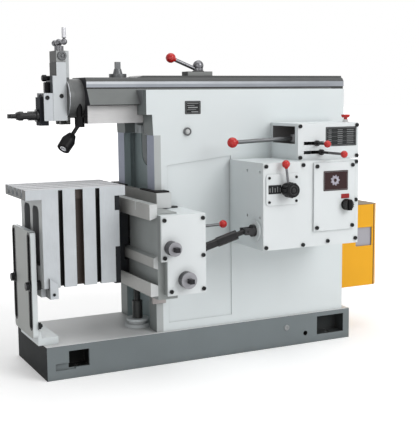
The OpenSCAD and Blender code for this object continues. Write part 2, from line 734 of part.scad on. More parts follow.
module clapper_block() {
  color("dimgray") difference() {
    union() {
      bx(box_x0 - 12, box_x0 + 23.7, -29.7, 29.7, box_z1 - 131, box_z1 - 16);
      yc(box_x0 + 12, box_z1 - 16, -29.7, 29.7, 22);
      yc(box_x0 + 12, box_z1 - 16, -slide_w / 2 + 5, slide_w / 2 - 5, 12);
    }
    xc(box_x0 - 13, box_x0 + 12, 0, box_z1 - 91, 26 + 2 * run_gap);
  }
}

module tool_post() {
  px = box_x0 - 12;
  pz = box_z1 - 91;
  color("dimgray") difference() {
    union() {
      xc(px - 78, px - 0.3, 0, pz, post_d);
      translate([px - 78 + e, 0, pz]) rotate([0, -90, 0]) cylinder(d1 = post_d, d2 = post_d - 8, h = 14);
      xc(px - 10.3, px - 0.3, 0, pz, post_d + 14);
      xc(px - 1, px + 20, 0, pz, 26);
    }
    bx(px - 64, px - 64 + shank, -shank * 0.6, shank * 0.6, pz - 30, pz + 30);
    xc(px - 93, px - 60, 0, pz, 20 + 2 * run_gap);
  }
  color("black") {
    xc(px - 112, px - 66, 0, pz, 20);
    translate([px - 126, -9, pz - 9]) cube([16, 18, 18]);
  }
}

module crossrail() {
  color("gray") difference() {
    union() {
      bx(rail_xf, rail_xb, -rl, rl, knee_z, rail_z1);
      side(-rl, rl) translate([0, knee_z]) {
        polygon([[rail_xf + e, 328], [guide_x, 318], [guide_x, 380], [rail_xf + e, 380]]);
        polygon([[rail_xf + e, 16], [guide_x, 16], [guide_x, 72], [rail_xf + e, 58]]);
        polygon([[rail_xf + e, 122], [rail_xf - 18, 130], [rail_xf - 18, 168], [rail_xf + e, 176]]);
      }
      bx(rail_xb - e, col_x0 + 0.2, -tongue, tongue, knee_z + 10, rail_z1);
      bx(way_x - 21, rail_xb, -lug_w, lug_w, rail_z1 - e, lug_z);
      bx(way_x - 21, way_x + 38, -cw - 13, -cw - slide_gap, knee_z - 64, knee_z + 12);
      for (s = [-1, 1]) bx(way_x - 21, way_x + 44, s > 0 ? cw + slide_gap : -lug_w,
        s > 0 ? lug_w : -cw - slide_gap, rail_z1, lug_z);
    }
    bx(rail_xf - 1, cs_x + 24, slot_y0, rl - 24, cs_z - 27, cs_z + 27);
    yc(cs_x, cs_z, -rl - 1, rl - 6, 20 + 2 * run_gap);
    yc(el_x, es_z, -rl - 1, el_y - 25, 20 + 2 * run_gap);
    zc(el_x, el_y, knee_z - 1, es_z - 20, elev_d + 2 * run_gap);
    bx(el_x - 28, el_x + 25, el_y - 26, el_y + 28, es_z - 25, es_z + 28);
  }
}

module rail_keepers() {
  color("silver") for (s = [-1, 1]) bx(col_x0 + 0.2, col_x0 + 17, s > 0 ? cw - way_w - 30 : -cw + way_w - 20,
    s > 0 ? cw - way_w + 20 : -cw + way_w + 30, knee_z + 20, rail_z1 - 10);
}

module rail_gearbox() {
  color("gainsboro") difference() {
    union() {
      bx(rail_xf, -175, gb_y0, -rl, knee_z + 157, knee_z + 338);
      bx(rail_xf + 25, -175, gb_y0, -rl, box_z0, knee_z + 158);
      bx(rail_xb, -175, gb_y0, gb_y1, box_z0, knee_z + 338);
      bx(-176, -137, gb_y0, gb_y1, knee_z + 230, knee_z + 338);
    }
    bx(rail_xf + 6, -185, gb_y0 - 1, -rl - 6, knee_z + 163, knee_z + 328);
    bx(rail_xf + 31, -185, gb_y0 - 1, -rl - 6, box_z0 + 4, knee_z + 165);
    bx(rail_xb + 10, -185, gb_y0 - 1, gb_y1 - 10, box_z0 + 8, knee_z + 328);
    yc(cs_x, cs_z, -rl - 7, -rl + 1, 20 + 2 * run_gap);
    yc(el_x, es_z, -rl - 7, -rl + 1, 20 + 2 * run_gap);
    xc(-186, -174, shaft_y + 55, knee_z + 183, 30);
    bx(-186, -136, gb_y0 + 78, gb_y0 + 102, knee_z + 238, knee_z + 300);
    yc(-150, knee_z + 268, gb_y0 + 65, gb_y0 + 115, 14 + 2 * run_gap);
  }
}

module rail_cover() {
  color("whitesmoke") difference() {
    union() {
      bx(rail_xf, -137, gcov_y, gb_y0, knee_z + 157, knee_z + 338);
      bx(rail_xf + 25, -137, gcov_y, gb_y0, box_z0, knee_z + 158);
    }
    yc(cs_x, cs_z, gcov_y - 1, gb_y0 + 1, 24 + 2 * run_gap);
    yc(ed_x, ed_z, gcov_y - 1, gb_y0 + 1, 24 + 2 * run_gap);
  }
}

module rail_screws() {
  color("dimgray") for (p = [[rail_xf + 12, 320], [-150, 320], [rail_xf + 12, 172], [-149, 172],
    [rail_xf + 39, 37], [-148, 37]]) cap_screw(p[0], gcov_y, knee_z + p[1]);
}

module cross_screw() {
  color("silver") {
    yc(cs_x, cs_z, gb_y0 + 4, slot_y0 + 3, 20);
    translate([cs_x, rl - 26, cs_z]) rotate([90, 0, 0]) thread_rings(cross_d, rl - 28 - slot_y0, 6);
    yc(cs_x, cs_z, rl - 27, rl - 8, 20);
    gear(cs_x, cs_z, gb_y0 + 4, gb_y0 + 16, 28, 2, 0);
  }
}

module dial(x, z, y0, deep, reach, hub) {
  color("silver") {
    yc(x, z, gcov_y - deep, gcov_y - 1, hub);
    yc(x, z, gcov_y - 2, y0, 24);
    bx(x - 9, x + 9, gcov_y - deep - reach, gcov_y - deep + 1, z - 9, z + 9);
  }
}
module cross_dial() { dial(cs_x, cs_z, gb_y0 + 4, 45, 28, 56); }

module elev_dial() {
  dial(ed_x, ed_z, gb_y0 + 20, 34, 30, 66);
  color("silver") gear(ed_x, ed_z, gb_y0 + 4, gb_y0 + 16, 32, 2, atan2(es_z - ed_z, el_x - ed_x));
}

module elev_shaft() {
  color("silver") {
    yc(el_x, es_z, gb_y0 + 4, el_y - 22, 20);
    gear(el_x, es_z, gb_y0 + 4, gb_y0 + 16, 22, 2, atan2(ed_z - es_z, ed_x - el_x) + 180 / 22);
    translate([el_x, el_y, es_z]) rotate([90, 0, 0]) bevel(13, 24);
  }
}

module elev_screw() {
  color("dimgray") {
    translate([el_x, el_y, zt + 36]) thread_rings(elev_d, 154, 6);
    zc(el_x, el_y, zt + 189, es_z - 23, elev_d);
    translate([el_x, el_y, es_z]) rotate([180, 0, 0]) rotate([0, 0, 11.25]) bevel(13, 24);
  }
}

module elev_sleeve() {
  color("silver") difference() {
    zc(el_x, el_y, zt - 40, zt + 112, 44);
    zc(el_x, el_y, zt - 41, zt + 113, elev_d + 0.6);
  }
}

module elev_nut() {
  color("silver") difference() {
    union() {
      zc(el_x, el_y, zt, zt + 14, 110);
      zc(el_x, el_y, zt - 26, zt + 26, 75);
      zc(el_x, el_y, zt + 26, zt + 36, 96);
    }
    zc(el_x, el_y, zt - 27, zt + 37, 44.6);
  }
}

module direction_lever() {
  y = gb_y0 + 90;
  z = knee_z + 268;
  color("silver") {
    yc(-150, z, gb_y0 + 66, gb_y0 + 114, 14);
    translate([-150, y, z]) rotate([0, -2, 0]) xc(0, 129, 0, 0, 12);
  }
  color("red") translate([-150, y, z]) rotate([0, -2, 0]) translate([142, 0, 0]) sphere(d = ball_d);
}

module saddle() {
  y0 = table_y - 140;
  y1 = table_y + 140;
  g = 2 * slide_gap;
  color("gray") difference() {
    union() {
      bx(tab_xb, plate_x, y0, y1, knee_z + 39, tab_z - top_t);
      side(table_y - 53, y1) translate([0, knee_z]) polygon([[plate_x - e, 318 - g], [guide_x, 318 - g],
        [rail_xf - 3, 326 - g], [rail_xf - 3, 180], [rail_xf - 21, 180], [rail_xf - 21, 118],
        [rail_xf - 3, 118], [rail_xf - 3, 60 + g], [guide_x, 72 + g], [plate_x - e, 72 + g]]);
      bx(rail_xf - 4, cs_x + 22, y1 - 53, y1, cs_z - 24, cs_z + 24);
    }
    yc(cs_x, cs_z, y1 - 54, y1 + 1, cross_d + 0.6);
  }
}

module table() {
  y0 = table_y - table_w / 2;
  y1 = table_y + table_w / 2;
  color("lightgray") difference() {
    union() {
      bx(tab_x0, tab_x1, y0, y1, tab_z - top_t, tab_z);
      bx(body_x0, tab_xb, y0, y1, body_z0, tab_z - top_t + e);
      bx(body_x0, body_x0 + 54, y0 + 45, y1, ledge_z, body_z0 + e);
      side(y0 - 12, y0 + 46) polygon([[body_x0 + 20, ledge_z], [body_x0 + 54, ledge_z],
        [body_x0 + 54, body_z0 + 15], [body_x0 + 20, body_z0 + 40]]);
      bx(tab_xb - e, tab_xb + 19, y0, y0 + 10, knee_z + 193, knee_z + 340);
    }
    for (y = [y0 + 46, table_y + 17]) {
      bx(body_x0 - 1, tab_xb - 36, y, y + win_w, knee_z + 130, win_z - 25);
      bx(body_x0 - 1, tab_xb - 36, y + 25, y + win_w - 25, win_z - 26, win_z);
      for (c = [y + 25, y + win_w - 25]) xc(body_x0 - 1, tab_xb - 36, c, win_z - 25, 50);
    }
    for (y = [-96, -32, 32, 96]) translate([0, table_y + y, 0]) {
      bx(tab_x0 - 1, tab_x1 + 1, -slot_w / 2, slot_w / 2, tab_z - 20, tab_z + 1);
      bx(tab_x0 - 1, tab_x1 + 1, -slot_w / 2 - 6, slot_w / 2 + 6, tab_z - 32, tab_z - 18);
    }
    for (s = [[76, slot_w / 2], [152, slot_w / 2 + 7], [229, slot_w / 2]]) translate([body_x0 + s[0], 0, 0]) {
      bx(-s[1], s[1], y0 - 1, y0 + 20, body_z0 - 1, tab_z - 6);
      bx(-s[1] - 6, s[1] + 6, y0 + 18, y0 + 32, body_z0 - 1, tab_z - top_t - 6);
    }
    for (y = [-112, 112]) xc(body_x0 - 1, body_x0 + 40, table_y + y + 20, knee_z + 53, 16);
  }
}

module table_bolts() {
  color("black") for (y = [-112, 112]) translate([0, table_y + y + 20, knee_z + 53]) {
    xc(br_x1 - 36, body_x0 + 38, 0, 0, 16);
    translate([br_x1 - 40, 0, 0]) rotate([0, 90, 0]) cylinder(d = 34, h = 14, $fn = 6);
    xc(br_x1 + 0.5, body_x0, 0, 0, 40);
    xc(br_x1 - 26.5, br_x1 - 22.5, 0, 0, 44);
  }
}

module support_bracket() {
  yc0 = table_y + 20;
  color("gainsboro") difference() {
    union() {
      translate([br_x1 - 22, yc0, zt + 247]) rotate([0, 90, 0]) linear_extrude(22) rr(430, 270, 16);
      bx(br_x1 - e, body_x0 + 64, yc0 - 130, yc0 + 130, zt + slide_gap, zt + 30);
      bx(br_x1 - e, br_x1 + 14, yc0 - 130, yc0 + 130, zt + slide_gap, zt + 60);
    }
    for (y = [-112, 112]) {
      bx(br_x1 - 23, br_x1 + 30, yc0 + y - 17, yc0 + y + 17, zt + 70, zt + 434);
      xc(br_x1 - 23, br_x1 + 1, yc0 + y, zt + 434, 34);
    }
  }
}

module drive_yoke() {
  color("silver") translate([0, shaft_y, shaft_z]) {
    xc(fb_x0 - 10, fb_x0 - 0.5, 0, 0, 86);
    xc(fb_x0 - 1, fb_x0 + 60, 0, 0, 34);
    xc(fb_x0 - 24, fb_x0 - 9, 0, 0, 50);
    for (s = [-1, 1]) difference() {
      bx(joint_x - 12, fb_x0 - 22, s > 0 ? 15 : -24, s > 0 ? 24 : -15, -13, 13);
      yc(joint_x, 0, -25, 25, 12 + 2 * run_gap);
    }
  }
}

module on_shaft() {
  translate([joint_x, shaft_y, shaft_z]) rotate([0, -sh_a, 0]) rotate([0, 0, -11]) children();
}
module drive_outer() {
  color("silver") on_shaft() difference() {
    union() {
      rotate([0, 0, 11]) yc(0, 0, -23.5, 23.5, 12);
      sphere(d = 27);
      xc(-40, -8, 0, 0, 21);
      xc(-125, -38, 0, 0, 40);
    }
    intersection() {
      xc(-126, -46, 0, 0, 33.6);
      bx(-127, -45, -12.3, 12.3, -20, 20);
    }
  }
}

module drive_inner() {
  color("silver") on_shaft() {
    intersection() {
      xc(-178, -82, 0, 0, 33);
      bx(-179, -81, -12, 12, -20, 20);
    }
    xc(-196, -176, 0, 0, 36);
  }
}

base();
column();
ram_gibs();
side_cover();
feed_box();
feed_cover();
switch_panel();
speed_box();
speed_cover();
cover_screws();
guard_place() belt_guard();
motor();
v_belts();
rocker_pin();
elev_nut();
estop_button();
clutch_lever();
gear_lever_a();
gear_lever_b();
feed_selector();
switch_knob();
motor_pulley();
input_shaft();
pinion_shaft();
bull_gear();
crank_block();
die_block();
rocker();
nut_block();
clamp_block();
clamp_lever();
ram();
ram_screw();
ram_spindle();
head_clamp();
swivel_head();
tool_slide();
downfeed_screw();
clapper_box();
clapper_block();
tool_post();
crossrail();
rail_keepers();
rail_gearbox();
rail_cover();
rail_screws();
cross_screw();
cross_dial();
elev_dial();
elev_shaft();
elev_screw();
elev_sleeve();
direction_lever();
saddle();
table();
table_bolts();
support_bracket();
drive_yoke();
drive_outer();
drive_inner();
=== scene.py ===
import math

import bmesh
import bpy
from mathutils import Matrix, Vector


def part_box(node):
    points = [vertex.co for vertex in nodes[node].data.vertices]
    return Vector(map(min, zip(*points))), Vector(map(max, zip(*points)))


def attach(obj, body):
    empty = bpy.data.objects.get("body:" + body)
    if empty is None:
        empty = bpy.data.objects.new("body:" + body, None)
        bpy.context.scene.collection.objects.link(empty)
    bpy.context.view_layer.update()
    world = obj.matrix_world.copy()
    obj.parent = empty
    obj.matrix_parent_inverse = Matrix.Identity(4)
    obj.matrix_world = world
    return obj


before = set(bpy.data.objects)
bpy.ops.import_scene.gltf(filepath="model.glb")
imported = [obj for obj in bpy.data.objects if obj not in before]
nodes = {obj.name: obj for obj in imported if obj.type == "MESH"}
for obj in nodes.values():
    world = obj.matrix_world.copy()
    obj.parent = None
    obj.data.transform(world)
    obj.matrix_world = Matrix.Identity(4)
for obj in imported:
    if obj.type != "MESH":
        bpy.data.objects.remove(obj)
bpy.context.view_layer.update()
print("frame loaded:", len(nodes), "nodes")

# camera, fitted to the picture's vanishing lines
viewpoint = {"place": (-1.7275, -3.6827, 1.1317), "azimuth": -26.514, "elevation": 7.512,
             "roll": -0.486, "lens": 76.906, "sensor": 36, "reach": 200}


def addCamera(spec):
    a, e, r = (math.radians(spec[k]) for k in ("azimuth", "elevation", "roll"))
    forward = Vector((-math.sin(a) * math.cos(e), math.cos(a) * math.cos(e), -math.sin(e)))
    right = Vector((math.cos(a), math.sin(a), 0))
    up = right.cross(forward)
    tiltedRight = right * math.cos(r) + up * math.sin(r)
    tiltedUp = up * math.cos(r) - right * math.sin(r)
    data = bpy.data.cameras.new("photoView")
    data.lens = spec["lens"]
    data.sensor_width = spec["sensor"]
    data.clip_end = spec["reach"]
    cam = bpy.data.objects.new("photoView", data)
    bpy.context.scene.collection.objects.link(cam)
    turn = Matrix((tiltedRight, tiltedUp, -forward)).transposed().to_4x4()
    cam.matrix_world = Matrix.Translation(spec["place"]) @ turn
    bpy.context.scene.camera = cam


addCamera(viewpoint)
print("camera placed")


# shader helpers
def addNode(tree, kind, inputs=None, **settings):
    made = tree.nodes.new("ShaderNode" + kind)
    for key, value in settings.items():
        setattr(made, key, value)
    for key, value in (inputs or {}).items():
        if isinstance(value, bpy.types.NodeSocket):
            tree.links.new(value, made.inputs[key])
        else:
            made.inputs[key].default_value = value
    return made


def calc(tree, operation, a, b):
    return addNode(tree, "Math", {0: a, 1: b}, operation=operation).outputs[0]


def blendColour(tree, factor, a, b, mode="MIX"):
    made = addNode(tree, "Mix", {0: factor, 6: a, 7: b}, data_type="RGBA", blend_type=mode)
    return made.outputs[2]


def blendValue(tree, factor, a, b):
    return addNode(tree, "Mix", {0: factor, 2: a, 3: b}).outputs[0]


def rgba(colour):
    return (colour[0], colour[1], colour[2], 1.0)


def spread(tree, value, low, high):
    made = addNode(tree, "MapRange", {"Value": value, "From Min": low, "From Max": high})
    return made.outputs[0]


def grainNoise(tree, place, scale, stretch=(1, 1, 1), detail=4.0):
    moved = addNode(tree, "Mapping", {"Vector": place, "Scale": stretch})
    made = addNode(tree, "TexNoise", {"Vector": moved.outputs[0], "Scale": scale, "Detail": detail})
    return made.outputs[0]


def zoneMask(tree, place, zone):
    axes = addNode(tree, "SeparateXYZ", {0: place})
    total = None
    for axis, low, high in zone:
        inside = calc(tree, "MULTIPLY", calc(tree, "GREATER_THAN", axes.outputs["XYZ".index(axis)], low),
                      calc(tree, "LESS_THAN", axes.outputs["XYZ".index(axis)], high))
        total = inside if total is None else calc(tree, "MULTIPLY", total, inside)
    return total


# every finish goes through here: tone, grain, worn edges, grime and painted shade in corners, and zones of
# another finish, among them painted shade and painted highlights
finishDefaults = {"metal": 0.0, "rough": 0.4, "roughShift": 0.16, "shine": 0.5, "tone": 0.06,
                  "toneScale": 5.0, "grain": 0.0, "grainScale": 900.0, "stretch": (1, 1, 1), "wave": 0.0,
                  "waveScale": 22.0, "edge": 0.0015, "worn": (0.45, 0.45, 0.44), "wornAmount": 0.0,
                  "chipScale": 60.0, "grimeAndShade": 0.25, "grimeAndShadeReach": 0.03, "grimeAndShadeTone": (0.05, 0.045, 0.04),
                  "bump": 0.12, "bumpDepth": 0.001, "zones": ()}


def makeFinish(name, given):
    spec = {**finishDefaults, **given}
    material = bpy.data.materials.new(name)
    material.use_nodes = True
    tree = material.node_tree
    tree.nodes.clear()
    out = addNode(tree, "OutputMaterial")
    shader = addNode(tree, "BsdfPrincipled")
    tree.links.new(shader.outputs[0], out.inputs[0])
    place = addNode(tree, "TexCoord").outputs["Object"]
    cloud = grainNoise(tree, place, spec["toneScale"])
    fine = grainNoise(tree, place, spec["grainScale"], spec["stretch"], 3.0)
    colour, metal, rough = rgba(spec["colour"]), spec["metal"], spec["rough"]
    for zone in spec["zones"]:
        mask = zoneMask(tree, place, zone["box"])
        if "fade" in zone:
            axis, start, end = zone["fade"]
            along = addNode(tree, "SeparateXYZ", {0: place}).outputs["XYZ".index(axis)]
            mask = calc(tree, "MULTIPLY", mask, spread(tree, along, start, end))
        colour = blendColour(tree, mask, colour, rgba(zone["colour"]))
        metal = blendValue(tree, mask, metal, zone.get("metal", spec["metal"]))
        rough = blendValue(tree, mask, rough, zone.get("rough", spec["rough"]))
    shift = spread(tree, cloud, 0.3, 0.7)
    dim = blendColour(tree, shift, rgba([1 - spec["tone"]] * 3), rgba([1, 1, 1]))
    colour = blendColour(tree, 1.0, colour, dim, "MULTIPLY")
    if spec["grain"]:
        streak = blendColour(tree, fine, rgba([1 - 2.2 * spec["grain"]] * 3), rgba([1, 1, 1]))
        colour = blendColour(tree, 1.0, colour, streak, "MULTIPLY")
    rounded = addNode(tree, "Bevel", {"Radius": spec["edge"]}, samples=4).outputs[0]
    if spec["wornAmount"]:
        flat = addNode(tree, "NewGeometry").outputs["Normal"]
        facing = addNode(tree, "VectorMath", {0: rounded, 1: flat}, operation="DOT_PRODUCT").outputs["Value"]
        edge = spread(tree, calc(tree, "SUBTRACT", 1.0, facing), 0.02, 0.2)
        chips = spread(tree, grainNoise(tree, place, spec["chipScale"]), 0.45, 0.62)
        worn = calc(tree, "MULTIPLY", calc(tree, "MULTIPLY", edge, chips), spec["wornAmount"])
        colour = blendColour(tree, worn, colour, rgba(spec["worn"]))
    # ambient occlusion darkens crevices and joins between parts: partly grime, partly painted shade
    if spec["grimeAndShade"]:
        openness = addNode(tree, "AmbientOcclusion", {"Distance": spec["grimeAndShadeReach"]}, samples=6)
        creviceDarkening = calc(tree, "MULTIPLY", calc(tree, "SUBTRACT", 1.0, openness.outputs["AO"]), spec["grimeAndShade"])
        colour = blendColour(tree, creviceDarkening, colour, rgba(spec["grimeAndShadeTone"]))
    tree.links.new(colour, shader.inputs["Base Color"])
    if isinstance(metal, bpy.types.NodeSocket):
        tree.links.new(metal, shader.inputs["Metallic"])
    else:
        shader.inputs["Metallic"].default_value = metal
    shifted = calc(tree, "MULTIPLY", calc(tree, "SUBTRACT", cloud, 0.5), spec["roughShift"])
    tree.links.new(calc(tree, "ADD", rough, shifted), shader.inputs["Roughness"])
    shader.inputs["Specular IOR Level"].default_value = spec["shine"]
    height = fine
    if spec["wave"]:
        swell = calc(tree, "MULTIPLY", grainNoise(tree, place, spec["waveScale"]), spec["wave"])
        height = calc(tree, "ADD", calc(tree, "MULTIPLY", fine, 0.15), swell)
    bump = addNode(tree, "Bump", {"Strength": spec["bump"], "Distance": spec["bumpDepth"], "Height": height,
                                  "Normal": rounded})
    tree.links.new(bump.outputs[0], shader.inputs["Normal"])
    return material


paleEnamel = {"colour": (0.70, 0.745, 0.755), "rough": 0.38, "tone": 0.035, "toneScale": 3.0, "wave": 1.2,
              "wornAmount": 0.35, "worn": (0.5, 0.5, 0.48), "grimeAndShade": 0.35, "shine": 0.25}
groundSteel = {"colour": (0.40, 0.41, 0.43), "metal": 0.85, "rough": 0.36, "tone": 0.1, "toneScale": 9.0,
               "grain": 0.09, "grainScale": 40.0, "stretch": (1, 22, 22), "grimeAndShade": 0.4, "shine": 0.3}
blackGloss = {"colour": (0.007, 0.007, 0.008), "rough": 0.3, "tone": 0.3, "grainScale": 500.0, "grimeAndShade": 0.1,
              "wornAmount": 0.2, "worn": (0.1, 0.1, 0.1), "shine": 0.1}
oiledIron = {"colour": (0.07, 0.07, 0.068), "metal": 0.3, "rough": 0.42, "tone": 0.15, "grain": 0.05,
             "grainScale": 120.0, "wornAmount": 0.4, "grimeAndShade": 0.3, "shine": 0.25}
dialSteel = {"colour": (0.085, 0.085, 0.092), "metal": 0.5, "rough": 0.38, "tone": 0.1, "grain": 0.05,
             "grimeAndShade": 0.3, "shine": 0.25}
flatInk = {"rough": 0.5, "tone": 0.1, "grimeAndShade": 0.1, "shine": 0.2}

# machined ways in bare iron, and painted shade on the column's front: the way fronts in bare bluish iron
# painted darker, darker still low down, the recess between the ways, and the front under the ram
wayZone = {"box": (("X", -0.3, -0.2139), ("Z", 0.13, 0.9655)), "colour": (0.42, 0.44, 0.44), "metal": 0.1}
wayFrontShade = {"box": (("X", -0.3, -0.2139), ("Y", -0.2045, 0.2045), ("Z", 0.3, 0.9655)),
            "colour": (0.33, 0.36, 0.455), "metal": 0.1, "rough": 0.5}
wayFootShade = {"box": (("X", -0.3, -0.2139), ("Y", -0.2045, 0.2045), ("Z", 0.13, 0.3)),
           "colour": (0.24, 0.26, 0.255), "metal": 0.1, "rough": 0.5}
recessShade = {"box": (("X", -0.2432, -0.185), ("Y", -0.172, 0.172), ("Z", 0.13, 0.9645)),
              "colour": (0.34, 0.41, 0.42), "rough": 0.5}
neckShade = {"box": (("X", -0.3, -0.2), ("Y", -0.2045, 0.2045), ("Z", 0.9655, 1.16)),
            "colour": (0.175, 0.195, 0.195), "rough": 0.5}
columnZones = (wayZone, wayFrontShade, wayFootShade, recessShade, neckShade)

# zones of the other pieces: bare faces, painted shade on faces turned from the lamps, bright edges, and slots
# and pockets painted dark as shade
paintedShadeGrey = {"colour": (0.28, 0.30, 0.295), "rough": 0.5}
# painted shade on the gearbox's faces that look to -X, taken as its grey iron end
gearboxZones = ({"box": (("X", -0.4, -0.3265), ("Z", 0.3, 0.6672)), **paintedShadeGrey},
                {"box": (("X", -0.3035, -0.3015), ("Z", 0.3, 0.489)), **paintedShadeGrey})
# painted shade on the tool slide's faces that look to -X: near black above, dark grey below
slideZones = ({"box": (("X", -0.7, -0.5975), ("Z", 1.2105, 1.3)), "colour": (0.035, 0.037, 0.037)},
              {"box": (("X", -0.7, -0.6145), ("Z", 0.8, 1.2115)), "colour": (0.13, 0.14, 0.15)})
pocketDepth = ("Y", -0.2135, -0.13)
baseZones = ({"box": (("Z", 0.1385, 0.2),), "colour": (0.76, 0.77, 0.77)},
             # painted shade: the base's end that looks to -X, near black
             {"box": (("X", -0.73, -0.7235), ("Z", -0.01, 0.1385)), "colour": (0.008, 0.010, 0.011)},
             # painted shade: pocket walls in the base's near side, near black
             {"box": (("Y", -0.2045, -0.13), ("X", -0.66, -0.52), ("Z", 0.03, 0.12)),
              "colour": (0.012, 0.013, 0.013)},
             {"box": (pocketDepth, ("X", 0.53, 0.7), ("Z", 0.03, 0.12)), "colour": (0.05, 0.055, 0.056)},
             {"box": (pocketDepth, ("X", 0.47, 0.51), ("Z", 0.03, 0.07)), "colour": (0.006, 0.006, 0.006)})
headTop = ("Z", 1.2655, 1.33)
headZones = ({"box": (("X", -0.5965, -0.5), headTop), "colour": (0.30, 0.31, 0.31), "metal": 0.3},
             # painted shade on the -X face of the bracket on the head
             {"box": (("X", -0.6, -0.5965), headTop), "colour": (0.04, 0.042, 0.042), "metal": 0.0},
             {"box": (("X", -0.557, -0.535), ("Y", -0.2, -0.0315), ("Z", 1.2035, 1.33)),
              "colour": (0.62, 0.65, 0.66), "metal": 0.0},
             {"box": (("X", -0.557, -0.533), ("Z", 1.03, 1.2015)), "colour": (0.13, 0.135, 0.135)})
ramSide = {"metal": 0.0, "rough": 0.5}
# painted highlight: a bright band along the ram's upper side, fading to painted grey towards the rear
ramZones = ({"box": (("Z", 1.1755, 1.1862),), "colour": (0.72, 0.75, 0.79), **ramSide, "rough": 0.35},
            {"box": (("Z", 1.1622, 1.1862), ("X", -0.2, 0.8)), "colour": (0.36, 0.38, 0.415), **ramSide,
             "fade": ("X", -0.1, 0.75)},
            {"box": (("Z", 1.1862, 1.3),), "colour": (0.105, 0.108, 0.108), **ramSide},
            {"box": (("Z", 1.0, 1.0885),), "colour": (0.78, 0.775, 0.775), **ramSide},
            # painted shade on the dovetail flanks, which face downward
            {"box": (("Z", 1.0885, 1.1622),), "colour": (0.20, 0.213, 0.21), **ramSide},
            # thin dark lines along the top and the foot of the flanks; the one at the foot is painted shadow
            # under the dovetail
            {"box": (("Z", 1.1565, 1.1625),), "colour": (0.02, 0.02, 0.021), **ramSide},
            {"box": (("Z", 1.0885, 1.0925),), "colour": (0.02, 0.02, 0.021), **ramSide},
            {"box": (("X", -0.6, -0.4905),), "colour": (0.14, 0.145, 0.146), "metal": 0.1, "rough": 0.5},
            # painted shade on the ram's front face
            {"box": (("X", -0.4905, -0.4893),), "colour": (0.022, 0.023, 0.027), "metal": 0.0, "rough": 0.5})
tableDeep = ("Y", -0.2155, -0.1745)
# painted shade on the table's faces that look to -X: its end, and two faces lower down
tableZones = ({"box": (("X", -0.8, -0.7895), ("Z", 0.3, 0.7685)), "colour": (0.16, 0.165, 0.165),
               "rough": 0.5},
              {"box": (("X", -0.7275, -0.7255), ("Z", 0.3, 0.73)), "colour": (0.52, 0.54, 0.54),
               "rough": 0.5},
              {"box": (("X", -0.7075, -0.7055), ("Y", -0.3, -0.17), ("Z", 0.3, 0.42)),
               "colour": (0.22, 0.23, 0.235)},
              {"box": (("Z", 0.7685, 0.8),), "colour": (0.60, 0.61, 0.635), "metal": 0.05, "rough": 0.55},
              # painted shadow: the table's T-slots near black inside
              {"box": (("X", -0.772, -0.381), ("Y", -0.216, 0.082), ("Z", 0.7305, 0.7685)),
               "colour": (0.02, 0.021, 0.023)},
              # painted shade inside the hollow table behind its side windows; the window walls near black,
              # with a brown tint in the middle one
              {"box": (("X", -0.7254, -0.44), ("Y", -0.2155, 0.0815), ("Z", 0.37, 0.729)),
               "colour": (0.25, 0.255, 0.26)},
              {"box": (("X", -0.7254, -0.44), tableDeep, ("Z", 0.37, 0.766)),
               "colour": (0.012, 0.012, 0.014)},
              {"box": (("X", -0.6, -0.55), tableDeep, ("Z", 0.37, 0.766)),
               "colour": (0.075, 0.055, 0.047)})
guideFace = {"colour": (0.56, 0.56, 0.54), "metal": 0.05}
railEnd = {"colour": (0.70, 0.72, 0.72), "metal": 0.0}
railZones = ({"box": (("X", -0.4, -0.3555),), **guideFace},
             {"box": (("X", -0.3465, -0.3445), ("Z", 0.455, 0.502)), **guideFace},
             # painted shadow: a near black patch on the crossrail's wall behind the saddle, standing for a
             # dark recess
             {"box": (("X", -0.3285, -0.25), ("Y", -0.13, 0.4), ("Z", 0.507, 0.646)),
              "colour": (0.012, 0.012, 0.013)},
             {"box": (("X", -0.3, -0.2), ("Z", 0.674, 0.74)), "colour": (0.40, 0.40, 0.385), "metal": 0.05},
             {"box": (("X", -0.3, -0.15), ("Z", 0.2, 0.3299)), "colour": (0.50, 0.46, 0.45), "metal": 0.05},
             {"box": (("Y", -0.28, -0.2715), ("Z", 0.6745, 0.74)), **railEnd},
             {"box": (("X", -0.4, -0.3275), ("Y", -0.5, -0.4205)), **railEnd})
# slot walls painted near black as shade
slotWallShade = {"colour": (0.012, 0.012, 0.013), "rough": 0.5}
# painted shade on the bracket's face that looks to -X
bracketZones = ({"box": (("X", -0.8, -0.7665),), "colour": (0.42, 0.435, 0.42), "rough": 0.5},
                {"box": (("X", -0.7668, -0.7458), ("Y", -0.1765, -0.1415), ("Z", 0.2, 0.6)), **slotWallShade},
                {"box": (("X", -0.7668, -0.7458), ("Y", 0.0475, 0.0825), ("Z", 0.2, 0.6)), **slotWallShade})
guardZones = ({"box": (("Z", 0.6035, 0.62),), "colour": (0.14, 0.085, 0.02)},
              {"box": (("X", 0.9305, 0.9385), ("Y", -0.2, -0.1)), "colour": (0.22, 0.095, 0.004)})
# painted shade on the clapper box's faces that look to -X, near black
boxZones = ({"box": (("X", -0.7, -0.6535),), "colour": (0.03, 0.032, 0.038)},)
speedZones = ({"box": (("X", 0.3112, 0.6), ("Y", -0.4, -0.21), ("Z", 0.9, 1.003)),
               "colour": (0.19, 0.185, 0.185)},)
yokeZones = ({"box": (("X", 0.0, 0.0955),), "colour": (0.03, 0.03, 0.032), "metal": 0.2},)
crankZones = ({"box": (("Y", -0.09, -0.055), ("Z", 1.362, 1.42)), "colour": (0.62, 0.62, 0.65),
               "metal": 0.4},)
shiftZones = ({"box": (("Y", -0.49, -0.1),), "colour": (0.01, 0.01, 0.011), "metal": 0.0},)
